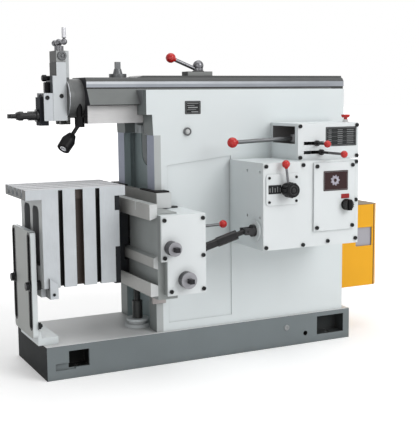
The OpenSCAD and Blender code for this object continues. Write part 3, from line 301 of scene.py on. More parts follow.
# painted shade on the clamp block's -X face; a darker band along the top
clampZones = ({"box": (("X", -0.1, -0.0045),), "colour": (0.02, 0.022, 0.024)},
              {"box": (("Z", 1.2285, 1.26),), "colour": (0.06, 0.062, 0.06)})
selectorZones = ({"box": (("Z", 0.775, 0.9),), "colour": (0.16, 0.16, 0.17), "metal": 0.9},)


def dialZones(face, rim):
    # bright front rim round a dark face
    return ({"box": (("Y", face, rim),), "colour": (0.36, 0.36, 0.385), "metal": 0.2},
            {"box": (("Y", -0.6, face),), "colour": (0.015, 0.015, 0.018), "metal": 0.2})


finishSpecs = {
    "paleEnamel": paleEnamel,
    "coverEnamel": dict(paleEnamel, colour=(0.73, 0.765, 0.775), wave=0.5),
    "columnEnamel": dict(paleEnamel, zones=columnZones),
    "gearboxEnamel": dict(paleEnamel, zones=gearboxZones),
    "bracketEnamel": dict(paleEnamel, zones=bracketZones),
    "slideEnamel": dict(paleEnamel, colour=(0.62, 0.65, 0.67), wave=0.4, shine=0.1, zones=slideZones),
    "boxEnamel": dict(paleEnamel, colour=(0.60, 0.63, 0.66), wave=0.4, shine=0.1, zones=boxZones),
    "clapperIron": dict(colour=(0.022, 0.024, 0.03), rough=0.6, tone=0.15, grain=0.05, wornAmount=0.3,
                        grimeAndShade=0.2, shine=0.06),
    "speedEnamel": dict(paleEnamel, zones=speedZones),
    "yokeEnamel": dict(paleEnamel, zones=yokeZones),
    "baseEnamel": dict(colour=(0.205, 0.232, 0.241), rough=0.45, tone=0.08, wave=1.5, wornAmount=0.5,
                       grimeAndShade=0.4, shine=0.04, zones=baseZones),
    "turnedSteel": groundSteel,
    "darkSteel": dict(oiledIron, colour=(0.045, 0.047, 0.046), shine=0.3),
    "crankSteel": dict(colour=(0.16, 0.16, 0.17), metal=0.9, rough=0.22, tone=0.12, grimeAndShade=0.3,
                       zones=crankZones),
    "headIron": dict(oiledIron, zones=headZones),
    "ramSteel": dict(groundSteel, colour=(0.42, 0.45, 0.50), metal=0.0, rough=0.4, stretch=(0.6, 30, 30),
                     shine=0.2, zones=ramZones),
    "tableIron": dict(groundSteel, colour=(0.64, 0.675, 0.705), metal=0.1, stretch=(22, 22, 1),
                      zones=tableZones),
    "railIron": dict(groundSteel, colour=(0.40, 0.425, 0.42), metal=0.05, rough=0.5, stretch=(22, 1, 22),
                     shine=0.2, zones=railZones),
    "saddleIron": dict(oiledIron, colour=(0.025, 0.027, 0.031), shine=0.15),
    "crossDialSteel": dict(dialSteel, zones=dialZones(-0.5056, -0.504)),
    "elevDialSteel": dict(dialSteel, zones=dialZones(-0.4946, -0.493)),
    "shaftBlack": dict(colour=(0.012, 0.012, 0.013), metal=0.1, rough=0.22, tone=0.2, wornAmount=0.3,
                       grimeAndShade=0.2, shine=0.3),
    "leverSteel": dict(colour=(0.13, 0.135, 0.14), metal=0.6, rough=0.34, tone=0.12, grain=0.05,
                       grainScale=120.0, grimeAndShade=0.3, shine=0.25),
    "shiftSteel": dict(colour=(0.13, 0.135, 0.14), metal=0.6, rough=0.34, tone=0.12, grimeAndShade=0.3, shine=0.25,
                       zones=shiftZones),
    "clampIron": dict(colour=(0.25, 0.26, 0.255), metal=0.2, rough=0.45, tone=0.12, grain=0.05, grimeAndShade=0.3,
                      shine=0.2, zones=clampZones),
    "knobBlack": dict(blackGloss, colour=(0.016, 0.016, 0.017), shine=0.3),
    "selectorBlack": dict(blackGloss, colour=(0.014, 0.014, 0.015), zones=selectorZones),
    "motorAlloy": dict(colour=(0.36, 0.355, 0.39), metal=0.2, rough=0.45, tone=0.12, wave=0.8, grimeAndShade=0.35),
    "innerIron": dict(colour=(0.26, 0.265, 0.27), metal=0.4, rough=0.5, tone=0.2, grain=0.1,
                      grainScale=300.0, wave=1.0, grimeAndShade=0.4),
    "blackPhenolic": blackGloss,
    "blackOxide": dict(colour=(0.014, 0.015, 0.016), metal=0.2, rough=0.42, tone=0.2, wornAmount=0.5,
                       worn=(0.25, 0.25, 0.25), grimeAndShade=0.2, shine=0.2),
    "redKnob": dict(colour=(0.52, 0.013, 0.011), rough=0.2, tone=0.12, toneScale=40.0, grimeAndShade=0.15, shine=0.4),
    "yellowSheet": dict(colour=(0.86, 0.42, 0.018), rough=0.36, tone=0.06, wave=0.6, wornAmount=0.4,
                        worn=(0.3, 0.2, 0.1), grimeAndShade=0.3, shine=0.2, zones=guardZones),
    "beltRubber": dict(colour=(0.015, 0.015, 0.015), rough=0.7, tone=0.3, grimeAndShade=0.2, shine=0.15),
    "bronze": dict(colour=(0.55, 0.36, 0.15), metal=0.9, rough=0.4, tone=0.15, grimeAndShade=0.3),
    "brightSteel": dict(colour=(0.75, 0.76, 0.78), metal=1.0, rough=0.16, tone=0.06, grimeAndShade=0.3),
    "sightSteel": dict(colour=(0.14, 0.145, 0.15), metal=0.3, rough=0.3, tone=0.1, grimeAndShade=0.4, shine=0.3),
    "etchedPlate": dict(colour=(0.016, 0.018, 0.019), rough=0.4, tone=0.25, toneScale=60.0, grimeAndShade=0.2,
                        shine=0.2),
    "maroonPlate": dict(colour=(0.03, 0.010, 0.011), rough=0.35, tone=0.25, toneScale=60.0, grimeAndShade=0.2,
                        shine=0.2),
    "paleInk": dict(flatInk, colour=(0.62, 0.63, 0.63)),
    "greyInk": dict(flatInk, colour=(0.34, 0.35, 0.355)),
    "lilacInk": dict(flatInk, colour=(0.52, 0.50, 0.58), tone=0.35, toneScale=90.0),
    "redLabel": dict(colour=(0.36, 0.025, 0.025), rough=0.4, tone=0.15, toneScale=80.0, grimeAndShade=0.1, shine=0.2),
}
finishes = {name: makeFinish(name, spec) for name, spec in finishSpecs.items()}
print("finishes made:", len(finishes))

nodeFinish = {
    "base": "baseEnamel", "column": "columnEnamel", "side_cover": "coverEnamel", "feed_box": "paleEnamel",
    "feed_cover": "coverEnamel", "switch_panel": "coverEnamel", "speed_box": "speedEnamel",
    "speed_cover": "coverEnamel", "cover_screws": "blackOxide", "rail_screws": "blackOxide",
    "belt_guard": "yellowSheet", "v_belts": "beltRubber", "ram": "ramSteel", "motor": "motorAlloy",
    "rocker": "innerIron", "nut_block": "innerIron", "die_block": "bronze", "estop_button": "redKnob",
    "switch_knob": "blackPhenolic", "feed_selector": "selectorBlack", "head_clamp": "blackPhenolic",
    "rail_gearbox": "gearboxEnamel", "rail_cover": "coverEnamel", "crossrail": "railIron",
    "saddle": "saddleIron", "table": "tableIron", "table_bolts": "blackOxide", "tool_post": "shaftBlack",
    "swivel_head": "headIron", "clapper_block": "clapperIron", "support_bracket": "bracketEnamel",
    "drive_outer": "shaftBlack", "drive_inner": "shaftBlack", "drive_yoke": "yokeEnamel",
    "elev_screw": "darkSteel", "elev_sleeve": "darkSteel", "clamp_block": "clampIron",
    "clamp_lever": "crankSteel", "downfeed_screw": "crankSteel", "clutch_lever": "leverSteel",
    "direction_lever": "leverSteel", "gear_lever_a": "shiftSteel", "gear_lever_b": "shiftSteel",
    "ram_spindle": "leverSteel", "tool_slide": "slideEnamel", "clapper_box": "boxEnamel",
    "cross_dial": "crossDialSteel", "elev_dial": "elevDialSteel", "elev_nut": "coverEnamel",
}
for name, obj in nodes.items():
    obj.data.materials.clear()
    obj.data.materials.append(finishes[nodeFinish.get(name, "turnedSteel")])
print("CAD nodes finished")


# mesh helpers, all in metres in the row frame; sunk is how far trim reaches into the face behind it
nearSide, upward, headSide, tailSide = (0, -1, 0), (0, 0, 1), (-1, 0, 0), (1, 0, 0)
sunk = -0.001


def addPiece(name, bm, finish, body, smooth=False):
    bmesh.ops.recalc_face_normals(bm, faces=bm.faces)
    mesh = bpy.data.meshes.new(name)
    bm.to_mesh(mesh)
    bm.free()
    for face in mesh.polygons:
        face.use_smooth = smooth
    mesh.materials.append(finishes[finish])
    obj = bpy.data.objects.new(name, mesh)
    bpy.context.scene.collection.objects.link(obj)
    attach(obj, body)


def axisTurn(axis):
    return Vector((0, 0, 1)).rotation_difference(Vector(axis)).to_matrix().to_4x4()


def turned(bm, profile, place, axis, steps):
    # profile is (radius, height) pairs that end on the axis or back at the first pair
    turn = Matrix.Translation(place) @ axisTurn(axis)
    rings = []
    for radius, height in profile:
        if radius < 1e-7:
            rings.append([bm.verts.new(turn @ Vector((0, 0, height)))])
            continue
        ring = []
        for i in range(steps):
            a = 2 * math.pi * i / steps
            ring.append(bm.verts.new(turn @ Vector((radius * math.cos(a), radius * math.sin(a), height))))
        rings.append(ring)
    for low, high in zip(rings, rings[1:]):
        for i in range(steps):
            j = (i + 1) % steps
            corners = [low[i % len(low)], low[j % len(low)], high[j % len(high)], high[i % len(high)]]
            unique = list(dict.fromkeys(corners))
            if len(unique) > 2:
                bm.faces.new(unique)


def addTurned(name, profile, place, axis, steps, finish, body, smooth=False):
    bm = bmesh.new()
    turned(bm, profile, place, axis, steps)
    addPiece(name, bm, finish, body, smooth)


def roundedPlate(bm, x0, x1, z0, z1, y, thick, corner, rim=0.0006, steps=6):
    # plate on a face that looks to -Y, with rounded corners and a softened front rim
    def loop(inset, depth):
        points = []
        r = max(corner - inset, 0.0003)
        for cx, cz, start in ((x1, z1, 0), (x0, z1, 90), (x0, z0, 180), (x1, z0, 270)):
            sx, sz = (-1 if cx == x1 else 1), (-1 if cz == z1 else 1)
            for i in range(steps + 1):
                a = math.radians(start + 90 * i / steps)
                points.append(bm.verts.new((cx + sx * (inset + r) + r * math.cos(a), depth,
                                            cz + sz * (inset + r) + r * math.sin(a))))
        return points
    loops = [loop(0, y), loop(0, y - thick + rim), loop(rim, y - thick)]
    for a, b in zip(loops, loops[1:]):
        for i in range(len(a)):
            bm.faces.new((a[i], a[(i + 1) % len(a)], b[(i + 1) % len(a)], b[i]))
    bm.faces.new(loops[0])
    bm.faces.new(loops[-1])


def bar(bm, low, high, soft):
    made = bmesh.ops.create_cube(bm, size=1.0)
    low, high = Vector(low), Vector(high)
    for v in made["verts"]:
        v.co = Vector([low[i] + (v.co[i] + 0.5) * (high[i] - low[i]) for i in range(3)])
    edges = list({e for v in made["verts"] for e in v.link_edges})
    bmesh.ops.bevel(bm, geom=edges, offset=soft, segments=2, affect="EDGES")


def capScrew(bm, place, axis, radius, height):
    # socket head: rim softened, socket sunk in the top
    k = radius * 0.14
    turned(bm, [(0, 0), (radius, 0), (radius, height - k), (radius - k, height), (radius * 0.56, height),
                (radius * 0.5, height * 0.45), (0, height * 0.4)], place, axis, 24)


# red ball knobs over the lever ends: name, body, centre, radius, way to the rod
ballKnobs = {"skin": 0.0004, "collar": 0.42, "length": 0.003, "edge": 0.0006, "steps": 16, "balls": (
    ("clutchBall", "clutch", (0.0482, -0.340, 0.9336), 0.0215, (0.9994, 0, 0.0349)),
    ("gearBallA", "shift_a", (0.400, -0.510, 0.924), 0.0145, (0, 1, 0)),
    ("gearBallB", "shift_b", (0.422, -0.598, 0.886), 0.0145, (0, 1, 0)),
    ("selectorBall", "selector", (0.19325, -0.523, 0.85097), 0.016, (0.139, 0, -0.99)),
    ("clampBall", "clamp", (-0.0714, 0.0, 1.2883), 0.0215, (0.929, 0, -0.370)),
    ("directionBall", "direction", (-0.0081, -0.360, 0.6030), 0.016, (-0.9994, 0, -0.0349)))}


def addBalls(spec):
    for name, body, centre, radius, toRod in spec["balls"]:
        r = radius + spec["skin"]
        neck = spec["collar"] * r
        start = math.acos(neck / r)
        profile = [(0, r)]
        for i in range(1, spec["steps"] + 1):
            a = math.pi / 2 - (math.pi / 2 + start) * i / spec["steps"]
            profile.append((r * math.cos(a), r * math.sin(a)))
        shoulder = profile[-1][1] - spec["length"]
        foot = shoulder - spec["edge"]
        profile += [(neck, shoulder), (neck * 0.9, foot), (0, foot)]
        addTurned(name, profile, centre, [-x for x in toRod], 32, "redKnob", body, smooth=True)


addBalls(ballKnobs)
print("ball knobs added")

# plates on the boxes and the column
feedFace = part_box("feed_cover")[0].y
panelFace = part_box("switch_panel")[0].y
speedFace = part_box("speed_cover")[0].y
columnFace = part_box("column")[0].y
selectorPlate = {"x": (0.117, 0.272), "z": (0.683, 0.809), "thick": 0.005, "corner": 0.012,
                 "screwIn": 0.014, "screw": (0.0055, 0.004), "index": ((0.127, 0.186), (0.730, 0.766)),
                 "indexThick": 0.002, "indexCorner": 0.002, "marks": 5, "markHalf": 0.0012,
                 "markIn": (0.007, 0.012), "markProud": 0.0006, "markSoft": 0.0002}
ruling = {"corner": 0.003, "rim": 0.0004, "margin": 0.004, "half": 0.0006, "proud": 0.0003,
          "rowProud": 0.0002, "under": 0.0002, "soft": 0.0001}
picturePlate = {"x": (0.388, 0.509), "z": (0.729, 0.812), "thick": 0.0015}
pictureGear = {"place": (0.445, 0.772), "bore": 0.0075, "rim": 0.018, "tooth": 0.0045, "count": 9,
               "root": 0.0066, "taper": 0.0024, "low": -0.0002, "high": 0.0003}
labelPlate = {"x": (0.476, 0.517), "z": (0.694, 0.713), "thick": 0.0012}
chartPlate = {"x": (0.447, 0.603), "z": (0.909, 0.990), "thick": 0.0015, "rows": 4,
              "dashes": [(0.08 + 0.3 * c, 0.08 + 0.3 * c + 0.1 + 0.03 * ((r * 5 + c * 7) % 5),
                          0.13 + 0.1 * r, 0.155 + 0.1 * r) for r in range(8) for c in range(3)]}
namePlate = {"x": (-0.102, -0.030), "z": (1.050, 1.104), "thick": 0.0016,
             "dashes": ((0.14, 0.86, 0.80, 0.84), (0.14, 0.60, 0.64, 0.68), (0.18, 0.80, 0.46, 0.54),
                        (0.14, 0.70, 0.32, 0.35), (0.40, 0.84, 0.14, 0.20))}


def addSelectorPlate(spec):
    (x0, x1), (z0, z1) = spec["x"], spec["z"]
    face = feedFace - spec["thick"]
    bm = bmesh.new()
    roundedPlate(bm, x0, x1, z0, z1, feedFace, spec["thick"], spec["corner"])
    addPiece("selectorPlate", bm, "coverEnamel", "frame")
    bm = bmesh.new()
    d = spec["screwIn"]
    for x in (x0 + d, x1 - d):
        for z in (z0 + d, z1 - d):
            capScrew(bm, (x, face, z), nearSide, *spec["screw"])
    addPiece("selectorScrews", bm, "blackOxide", "frame")
    (i0, i1), (j0, j1) = spec["index"]
    bm = bmesh.new()
    roundedPlate(bm, i0, i1, j0, j1, face, spec["indexThick"], spec["indexCorner"])
    addPiece("indexPlate", bm, "etchedPlate", "frame")
    bm = bmesh.new()
    shortIn, longIn = spec["markIn"]
    half, back = spec["markHalf"], face - spec["indexThick"] + ruling["under"]
    front = face - spec["indexThick"] - spec["markProud"]
    for k in range(spec["marks"]):
        x = i0 + (i1 - i0) * (k + 0.5) / spec["marks"]
        low, high = j0 + shortIn, j1 - (shortIn if k % 2 else longIn)
        bar(bm, (x - half, front, low), (x + half, back, high), spec["markSoft"])
    addPiece("indexMarks", bm, "greyInk", "frame")


def addRuledPlate(name, spec, face, finish, ink):
    (x0, x1), (z0, z1) = spec["x"], spec["z"]
    y, m, w = face - spec["thick"], ruling["margin"], ruling["half"]
    bm = bmesh.new()
    roundedPlate(bm, x0, x1, z0, z1, face, spec["thick"], ruling["corner"], ruling["rim"])
    addPiece(name, bm, finish, "frame")
    bm = bmesh.new()

    def line(left, right, low, high, proud=ruling["proud"]):
        bar(bm, (left, y - proud, low), (right, y + ruling["under"], high), ruling["soft"])
    for z in (z0 + m, z1 - m):
        line(x0 + m, x1 - m, z - w, z + w)
    for x in (x0 + m, x1 - m):
        line(x - w, x + w, z0 + m, z1 - m)
    for k in range(1, spec.get("rows", 0)):
        z = z0 + m + (z1 - z0 - 2 * m) * k / spec["rows"]
        line(x0 + m, x1 - m, z - w / 2, z + w / 2, ruling["rowProud"])
    for u0, u1, v0, v1 in spec.get("dashes", ()):
        line(x0 + (x1 - x0) * u0, x0 + (x1 - x0) * u1, z0 + (z1 - z0) * v0, z0 + (z1 - z0) * v1)
    addPiece(name + "Lines", bm, ink, "frame")


def addPictureGear(spec):
    # a plain gear wheel on the picture plate
    (x, z), face = spec["place"], panelFace - picturePlate["thick"]
    bore, rim, low, high = (spec[key] for key in ("bore", "rim", "low", "high"))
    bm = bmesh.new()
    turned(bm, [(bore, low), (rim, low), (rim, high), (bore, high), (bore, low)], (x, face, z), nearSide, 48)
    for k in range(spec["count"]):
        turn = Matrix.Translation((x, 0, z)) @ Matrix.Rotation(2 * math.pi * k / spec["count"], 4, "Y")
        made = bmesh.ops.create_cube(bm, size=1.0)
        for v in made["verts"]:
            reach = rim + sunk + (v.co.x + 0.5) * (spec["tooth"] - sunk)
            width = spec["root"] - spec["taper"] * (v.co.x + 0.5)
            depth = (low + high) / 2 + (high - low) * v.co.y
            v.co = turn @ Vector((reach, face - depth, width * v.co.z))
    addPiece("pictureGear", bm, "lilacInk", "frame")


addSelectorPlate(selectorPlate)
addRuledPlate("picturePlate", picturePlate, panelFace, "maroonPlate", "greyInk")
addPictureGear(pictureGear)
addRuledPlate("chartPlate", chartPlate, speedFace, "etchedPlate", "greyInk")
addRuledPlate("namePlate", namePlate, columnFace, "etchedPlate", "greyInk")
addRuledPlate("labelPlate", labelPlate, panelFace, "redLabel", "redLabel")
print("plates added")

# oil sight on the column side
sightGlass = {"place": (-0.093, 0.978), "radius": 0.0175, "proud": 0.009}


def addSight(spec):
    x, z = spec["place"]
    r, d = spec["radius"], spec["proud"]
    ring = [(0, sunk), (r, sunk), (r, d * 0.6), (r * 0.9, d), (r * 0.7, d), (r * 0.64, d * 0.6), (0, d * 0.6)]
    eye = [(0, d * 0.62), (r * 0.62, d * 0.62), (r * 0.6, d * 0.85), (0, d * 0.95)]
    centre = (x, columnFace, z)
    addTurned("sightRing", ring, centre, nearSide, 40, "sightSteel", "frame")
    addTurned("sightEye", eye, centre, nearSide, 40, "paleInk", "frame", smooth=True)


addSight(sightGlass)

# small hardware on the frame
stopCollar = {"place": (0.601, -0.348, 1.007), "radius": 0.0135, "bore": 0.0084, "height": 0.011}
drainPlug = {"place": (0.386, 0.086), "radius": 0.013, "proud": 0.004, "deep": 0.02}
gibScrews = {"first": -0.2, "step": 0.16, "count": 6, "offset": 0.149, "seat": 1.1432,
             "radius": 0.008, "height": 0.0072}


def addFrameHardware():
    r, bore, h = (stopCollar[key] for key in ("radius", "bore", "height"))
    profile = [(bore, 0), (r, 0), (r, h * 0.35), (r * 0.86, h * 0.5), (r * 0.86, h * 0.9), (r * 0.8, h),
               (bore, h), (bore, 0)]
    addTurned("stopCollar", profile, stopCollar["place"], upward, 32, "paleInk", "frame")
    x, z = drainPlug["place"]
    r, d, deep = (drainPlug[key] for key in ("radius", "proud", "deep"))
    profile = [(0, -deep), (r, -deep), (r, d * 0.7), (r * 0.9, d), (r * 0.5, d), (r * 0.45, d * 0.2),
               (0, d * 0.1)]
    addTurned("drainPlug", profile, (x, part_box("base")[0].y, z), nearSide, 32, "greyInk", "frame")
    bm = bmesh.new()
    for k in range(gibScrews["count"]):
        x = gibScrews["first"] + k * gibScrews["step"]
        for side in (-1, 1):
            place = (x, side * gibScrews["offset"], gibScrews["seat"])
            capScrew(bm, place, upward, gibScrews["radius"], gibScrews["height"])
    addPiece("gibScrews", bm, "blackOxide", "frame")


addFrameHardware()

# felt wipers on the crossrail, oil cap on its gearbox
wipers = {"x": (-0.264, -0.201), "reach": (0.206, 0.258), "inner": 0.092, "wayFace": -0.2446,
          "thick": 0.006, "soft": 0.001}
oilCap = {"place": (-0.171, -0.232), "radius": 0.017, "height": 0.006}


def addRailHardware():
    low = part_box("crossrail")[1].z
    high = low + wipers["thick"]
    (x0, x1), (y0, y1) = wipers["x"], wipers["reach"]
    bm = bmesh.new()
    for side in (-1, 1):
        near, far = sorted((side * y0, side * y1))
        bar(bm, (x0, near, low), (x1, far, high), wipers["soft"])
        near, far = sorted((side * wipers["inner"], side * y0))
        bar(bm, (x0, near, low), (wipers["wayFace"], far, high), wipers["soft"])
    addPiece("wayWipers", bm, "beltRubber", "knee")
    r, h = oilCap["radius"], oilCap["height"]
    profile = [(0, sunk), (r, sunk), (r, h * 0.6), (r * 0.85, h), (0, h)]
    place = (*oilCap["place"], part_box("rail_gearbox")[1].z)
    addTurned("oilCap", profile, place, upward, 32, "blackPhenolic", "knee")


addRailHardware()

# rings of fine lines: name, body, place, axis, radius, count, length, first and last angle
lineShape = {"thick": 0.0002, "width": 0.0009, "start": 0.0008, "short": 0.6, "longEvery": 5}
dialLines = (("crossLines", "cross_screw", (-0.289, -0.505, 0.541), (0, 1, 0), 0.028, 40, 0.008, (0, 360)),
             ("elevLines", "elev_dial", (-0.2258, -0.494, 0.411), (0, 1, 0), 0.033, 40, 0.008, (0, 360)),
             ("swivelLines", "ram", (-0.4975, 0, 1.118), headSide, 0.0802, 61, 0.02, (120, 240)))


def addDialLines(lines):
    thick, width = lineShape["thick"], lineShape["width"]
    for name, body, place, axis, radius, count, length, (start, end) in lines:
        turn = Matrix.Translation(place) @ axisTurn(axis)
        bm = bmesh.new()
        for k in range(count):
            a = math.radians(start + (end - start) * k / count)
            reach = length * (1 if k % lineShape["longEvery"] == 0 else lineShape["short"])
            spin = turn @ Matrix.Rotation(a, 4, "Z")
            made = bmesh.ops.create_cube(bm, size=1.0)
            for v in made["verts"]:
                along = lineShape["start"] + reach * (v.co.z + 0.5)
                v.co = spin @ Vector((radius + thick * v.co.x, width * v.co.y, along))
        addPiece(name, bm, "blackPhenolic" if body == "ram" else "paleInk", body)


addDialLines(dialLines)

# plugs and bolts on the tool head and the support bracket
headPlugs = {"slide": (-0.579, 1.129), "clapper": (-0.6385, 1.1225), "radius": 0.0088, "proud": 0.003}
handleTip = {"pivot": (-0.512, -0.065, 1.018), "way": (-0.6230, -0.3597, -0.6947), "reach": 0.142,
             "radius": 0.0135, "proud": 0.0018}
bracketBolt = {"place": (-0.7454, -0.177, 0.222), "radius": 0.014, "length": 0.018}


def addHeadHardware():
    r, d = headPlugs["radius"], headPlugs["proud"]
    profile = [(0, sunk), (r, sunk), (r, d * 0.6), (r * 0.88, d), (r * 0.5, d), (r * 0.42, d * 0.3),
               (0, d * 0.3)]
    for key, body, node in (("slide", "slide", "tool_slide"), ("clapper", "clapper_box", "clapper_box")):
        x, z = headPlugs[key]
        place = (x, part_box(node)[0].y, z)
        addTurned(key + "Plug", profile, place, nearSide, 28, "blackOxide", body)
    way = Vector(handleTip["way"]).normalized()
    place = Vector(handleTip["pivot"]) + way * handleTip["reach"]
    r, d = handleTip["radius"], handleTip["proud"]
    profile = [(0, sunk), (r, sunk), (r, -sunk), (r * 0.9, d), (r * 0.55, d), (r * 0.5, 0.0005), (0, 0.0003)]
    addTurned("handleTip", profile, place, way, 28, "brightSteel", "head_handle")
    r, h = bracketBolt["radius"], bracketBolt["length"]
    profile = [(0, 0), (r * 1.2, 0), (r * 1.2, h * 0.15), (r, h * 0.16), (r, h * 0.62), (r * 0.9, h * 0.68),
               (r * 0.5, h * 0.68), (r * 0.5, h * 0.95), (r * 0.4, h), (0, h)]
    addTurned("bracketBolt", profile, bracketBolt["place"], tailSide, 6, "blackOxide", "bracket")


addHeadHardware()
print("small hardware added")

# grips of the two black knobs: name, body, centre, front and back, radius, ribs, rib radius, face
knobGrips = (("selectorGrip", "selector", (0.212, 0.746), (-0.546, -0.512), 0.028, 12, 0.0042, -0.553),
             ("switchGrip", "switch", (0.500, 0.668), (-0.530, -0.510), 0.0215, 18, 0.0022, -0.530))


def addKnobGrips(grips):
    for name, body, (x, z), (front, back), radius, count, rib, face in grips:
        length = back - front
        ribShape = [(0, 0), (rib, 0), (rib, length - rib * 0.5), (rib * 0.6, length), (0, length)]
        bm = bmesh.new()
        for k in range(count):
            a = 2 * math.pi * k / count
            spot = (x + radius * math.cos(a), back, z + radius * math.sin(a))
            turned(bm, ribShape, spot, nearSide, 10)
        if body == "switch":
            cap = [(0, 0), (radius, 0), (radius, length - 0.002), (radius - 0.002, length), (0, length)]
            turned(bm, cap, (x, back, z), nearSide, 36)
        else:
            outer, hub = radius * 0.72, radius * 0.32
            inner = outer * 0.78
            ring = [(inner, sunk), (outer, sunk), (outer, 0.0012), (outer * 0.94, 0.0018),
                    (outer * 0.84, 0.0018), (inner, 0.0012), (inner, sunk)]
            turned(bm, ring, (x, face, z), nearSide, 36)
            turned(bm, [(0, sunk), (hub, sunk), (hub, 0.002), (radius * 0.25, 0.003), (0, 0.003)],
                   (x, face, z), nearSide, 24)
        addPiece(name, bm, "knobBlack", body)


addKnobGrips(knobGrips)

# front trim: rims of the bracket's slots, edge of the swivel disc, lug, boss and bolt on the tool head,
# screw on the table ledge, felt under the ram's tail, motor cowl
slotRims = {"x": -0.7674, "centres": (-0.159, 0.065), "z": (0.210, 0.591), "half": 0.017, "width": 0.008,
            "under": 0.0002, "proud": 0.0006, "steps": 12}
discEdge = {"place": (-0.5526, 0.0, 1.118), "radius": 0.0824, "width": 0.0035, "deep": 0.003}
boxLug = {"low": (-0.637, -0.013, 1.1408), "high": (-0.6156, 0.013, 1.186), "soft": 0.002}
bracketBoss = {"place": (-0.572, -0.042, 1.2905), "radius": 0.0185, "proud": 0.007}
slideBolt = {"place": (-0.615, 0.0, 1.2015), "radius": 0.0135, "length": 0.031}
ledgeScrew = {"place": (-0.690, -0.2295, 0.353), "radius": 0.006, "height": 0.004}
tailFelt = {"low": (0.690, -0.0925, 1.1512), "high": (0.7635, 0.0925, 1.1640), "soft": 0.0008}
motorCowl = {"x": (0.822, 0.930), "z": (0.398, 0.501), "y": -0.1055, "thick": 0.003, "corner": 0.006}


def addSlotRims(spec):
    half, width, under, proud, steps = (spec[key] for key in ("half", "width", "under", "proud", "steps"))
    low, high = spec["z"][0] + half, spec["z"][1] - half
    around = 2 * steps
    bm = bmesh.new()
    for centre in spec["centres"]:
        loops = []
        for grow, depth in ((0, under), (0, -proud), (width, -proud), (width, under)):
            loop = []
            for k in range(around):
                a = math.pi * (k % steps) / (steps - 1) + (math.pi if k >= steps else 0)
                z = (high if k < steps else low) + (half + grow) * math.sin(a)
                loop.append(bm.verts.new((spec["x"] + depth, centre + (half + grow) * math.cos(a), z)))
            loops.append(loop)
        for a, b in zip(loops, loops[1:] + loops[:1]):
            for i in range(around):
                j = (i + 1) % around
                bm.faces.new((a[i], a[j], b[j], b[i]))
    addPiece("slotRims", bm, "blackPhenolic", "bracket")


def addFrontTrim():
    r, w = discEdge["radius"], discEdge["width"]
    inner = r - discEdge["deep"]
    profile = [(inner, 0), (r, 0), (r, w * 0.7), (r - 0.0012, w), (inner, w), (inner, 0)]
    addTurned("discEdge", profile, discEdge["place"], headSide, 72, "turnedSteel", "head")
    bm = bmesh.new()
    bar(bm, boxLug["low"], boxLug["high"], boxLug["soft"])
    addPiece("boxLug", bm, "blackPhenolic", "clapper_box")
    r, h = bracketBoss["radius"], bracketBoss["proud"]
    profile = [(0, sunk), (r, sunk), (r, h * 0.75), (r * 0.92, h), (r * 0.62, h), (r * 0.56, h * 0.5),
               (r * 0.3, h * 0.5), (r * 0.26, h * 0.9), (0, h * 0.9)]
    addTurned("bracketBoss", profile, bracketBoss["place"], nearSide, 36, "leverSteel", "head")
    r, h = slideBolt["radius"], slideBolt["length"]
    shank = r * 0.7
    profile = [(0, sunk), (shank, sunk), (shank, h * 0.35), (r, h * 0.4), (r, h * 0.85), (r * 0.8, h), (0, h)]
    addTurned("slideBolt", profile, slideBolt["place"], headSide, 6, "blackPhenolic", "slide")
    bm = bmesh.new()
    capScrew(bm, ledgeScrew["place"], nearSide, ledgeScrew["radius"], ledgeScrew["height"])
    addPiece("ledgeScrew", bm, "blackOxide", "saddle")
    bm = bmesh.new()
    bar(bm, tailFelt["low"], tailFelt["high"], tailFelt["soft"])
    addPiece("tailFelt", bm, "darkSteel", "ram")
    bm = bmesh.new()
    (x0, x1), (z0, z1) = motorCowl["x"], motorCowl["z"]
    roundedPlate(bm, x0, x1, z0, z1, motorCowl["y"], motorCowl["thick"], motorCowl["corner"])
    addPiece("motorCowl", bm, "motorAlloy", "frame")


addSlotRims(slotRims)
addFrontTrim()
print("front trim added")

# plain studio: pale floor that runs into a white background; the floor also glows for camera and glossy rays,
# painted light that is weak near the machine so its shadow stays, and full far away
studio = {"floor": (0.88, 0.88, 0.88), "floorRough": 0.9, "size": 120, "skyFill": 0.30,
          "floorGlow": (0.3, 1.0), "glowFrom": 1.2, "glowTo": 4.0, "aim": (0, 0, 0.6),
          "lamps": (("key", (2.4, -4.8, 3.4), 3.4, 170), ("fill", (-3.6, -4.4, 2.0), 3.0, 34),
                    ("top", (0.4, -0.4, 4.8), 4.0, 85), ("back", (0.8, 4.2, 3.0), 3.0, 45))}


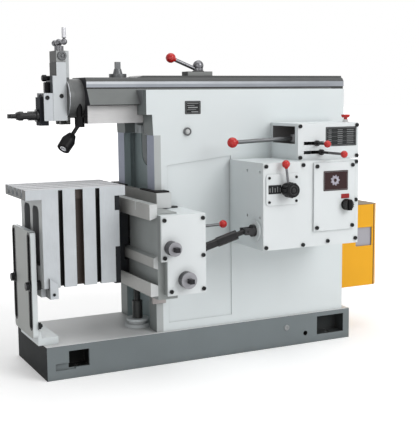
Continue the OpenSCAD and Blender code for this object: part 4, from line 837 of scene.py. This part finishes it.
def shownRays(tree):
    path = addNode(tree, "LightPath")
    seen = calc(tree, "ADD", path.outputs["Is Camera Ray"], path.outputs["Is Glossy Ray"])
    return calc(tree, "MINIMUM", calc(tree, "ADD", seen, path.outputs["Is Transmission Ray"]), 1.0)


def addFloor(spec):
    mesh = bpy.data.meshes.new("floor")
    s = spec["size"] / 2
    mesh.from_pydata([(-s, -s, 0), (s, -s, 0), (s, s, 0), (-s, s, 0)], [], [(0, 1, 2, 3)])
    floor = bpy.data.objects.new("floor", mesh)
    bpy.context.scene.collection.objects.link(floor)
    material = bpy.data.materials.new("floorPaper")
    material.use_nodes = True
    tree = material.node_tree
    shader = tree.nodes["Principled BSDF"]
    shader.inputs["Base Color"].default_value = rgba(spec["floor"])
    shader.inputs["Roughness"].default_value = spec["floorRough"]
    shader.inputs["Emission Color"].default_value = (1, 1, 1, 1)
    place = addNode(tree, "TexCoord").outputs["Object"]
    away = addNode(tree, "VectorMath", {0: place}, operation="LENGTH").outputs["Value"]
    floorGlowStrength = blendValue(tree, spread(tree, away, spec["glowFrom"], spec["glowTo"]), *spec["floorGlow"])
    tree.links.new(calc(tree, "MULTIPLY", floorGlowStrength, shownRays(tree)), shader.inputs["Emission Strength"])
    mesh.materials.append(material)


def addStudio(spec):
    scene = bpy.context.scene
    scene.view_settings.view_transform = "Standard"
    addFloor(spec)
    world = bpy.data.worlds.new("studio")
    scene.world = world
    world.use_nodes = True
    tree = world.node_tree
    tree.nodes.clear()
    strength = blendValue(tree, shownRays(tree), spec["skyFill"], 1.0)
    sky = addNode(tree, "Background", {"Color": (1, 1, 1, 1), "Strength": strength})
    out = addNode(tree, "OutputWorld")
    tree.links.new(sky.outputs[0], out.inputs[0])
    for name, place, size, power in spec["lamps"]:
        data = bpy.data.lights.new(name, "AREA")
        data.size = size
        data.energy = power
        lamp = bpy.data.objects.new(name, data)
        scene.collection.objects.link(lamp)
        aim = Vector(spec["aim"]) - Vector(place)
        lamp.matrix_world = Matrix.Translation(place) @ aim.to_track_quat("-Z", "Y").to_matrix().to_4x4()


addStudio(studio)
print("studio lit")
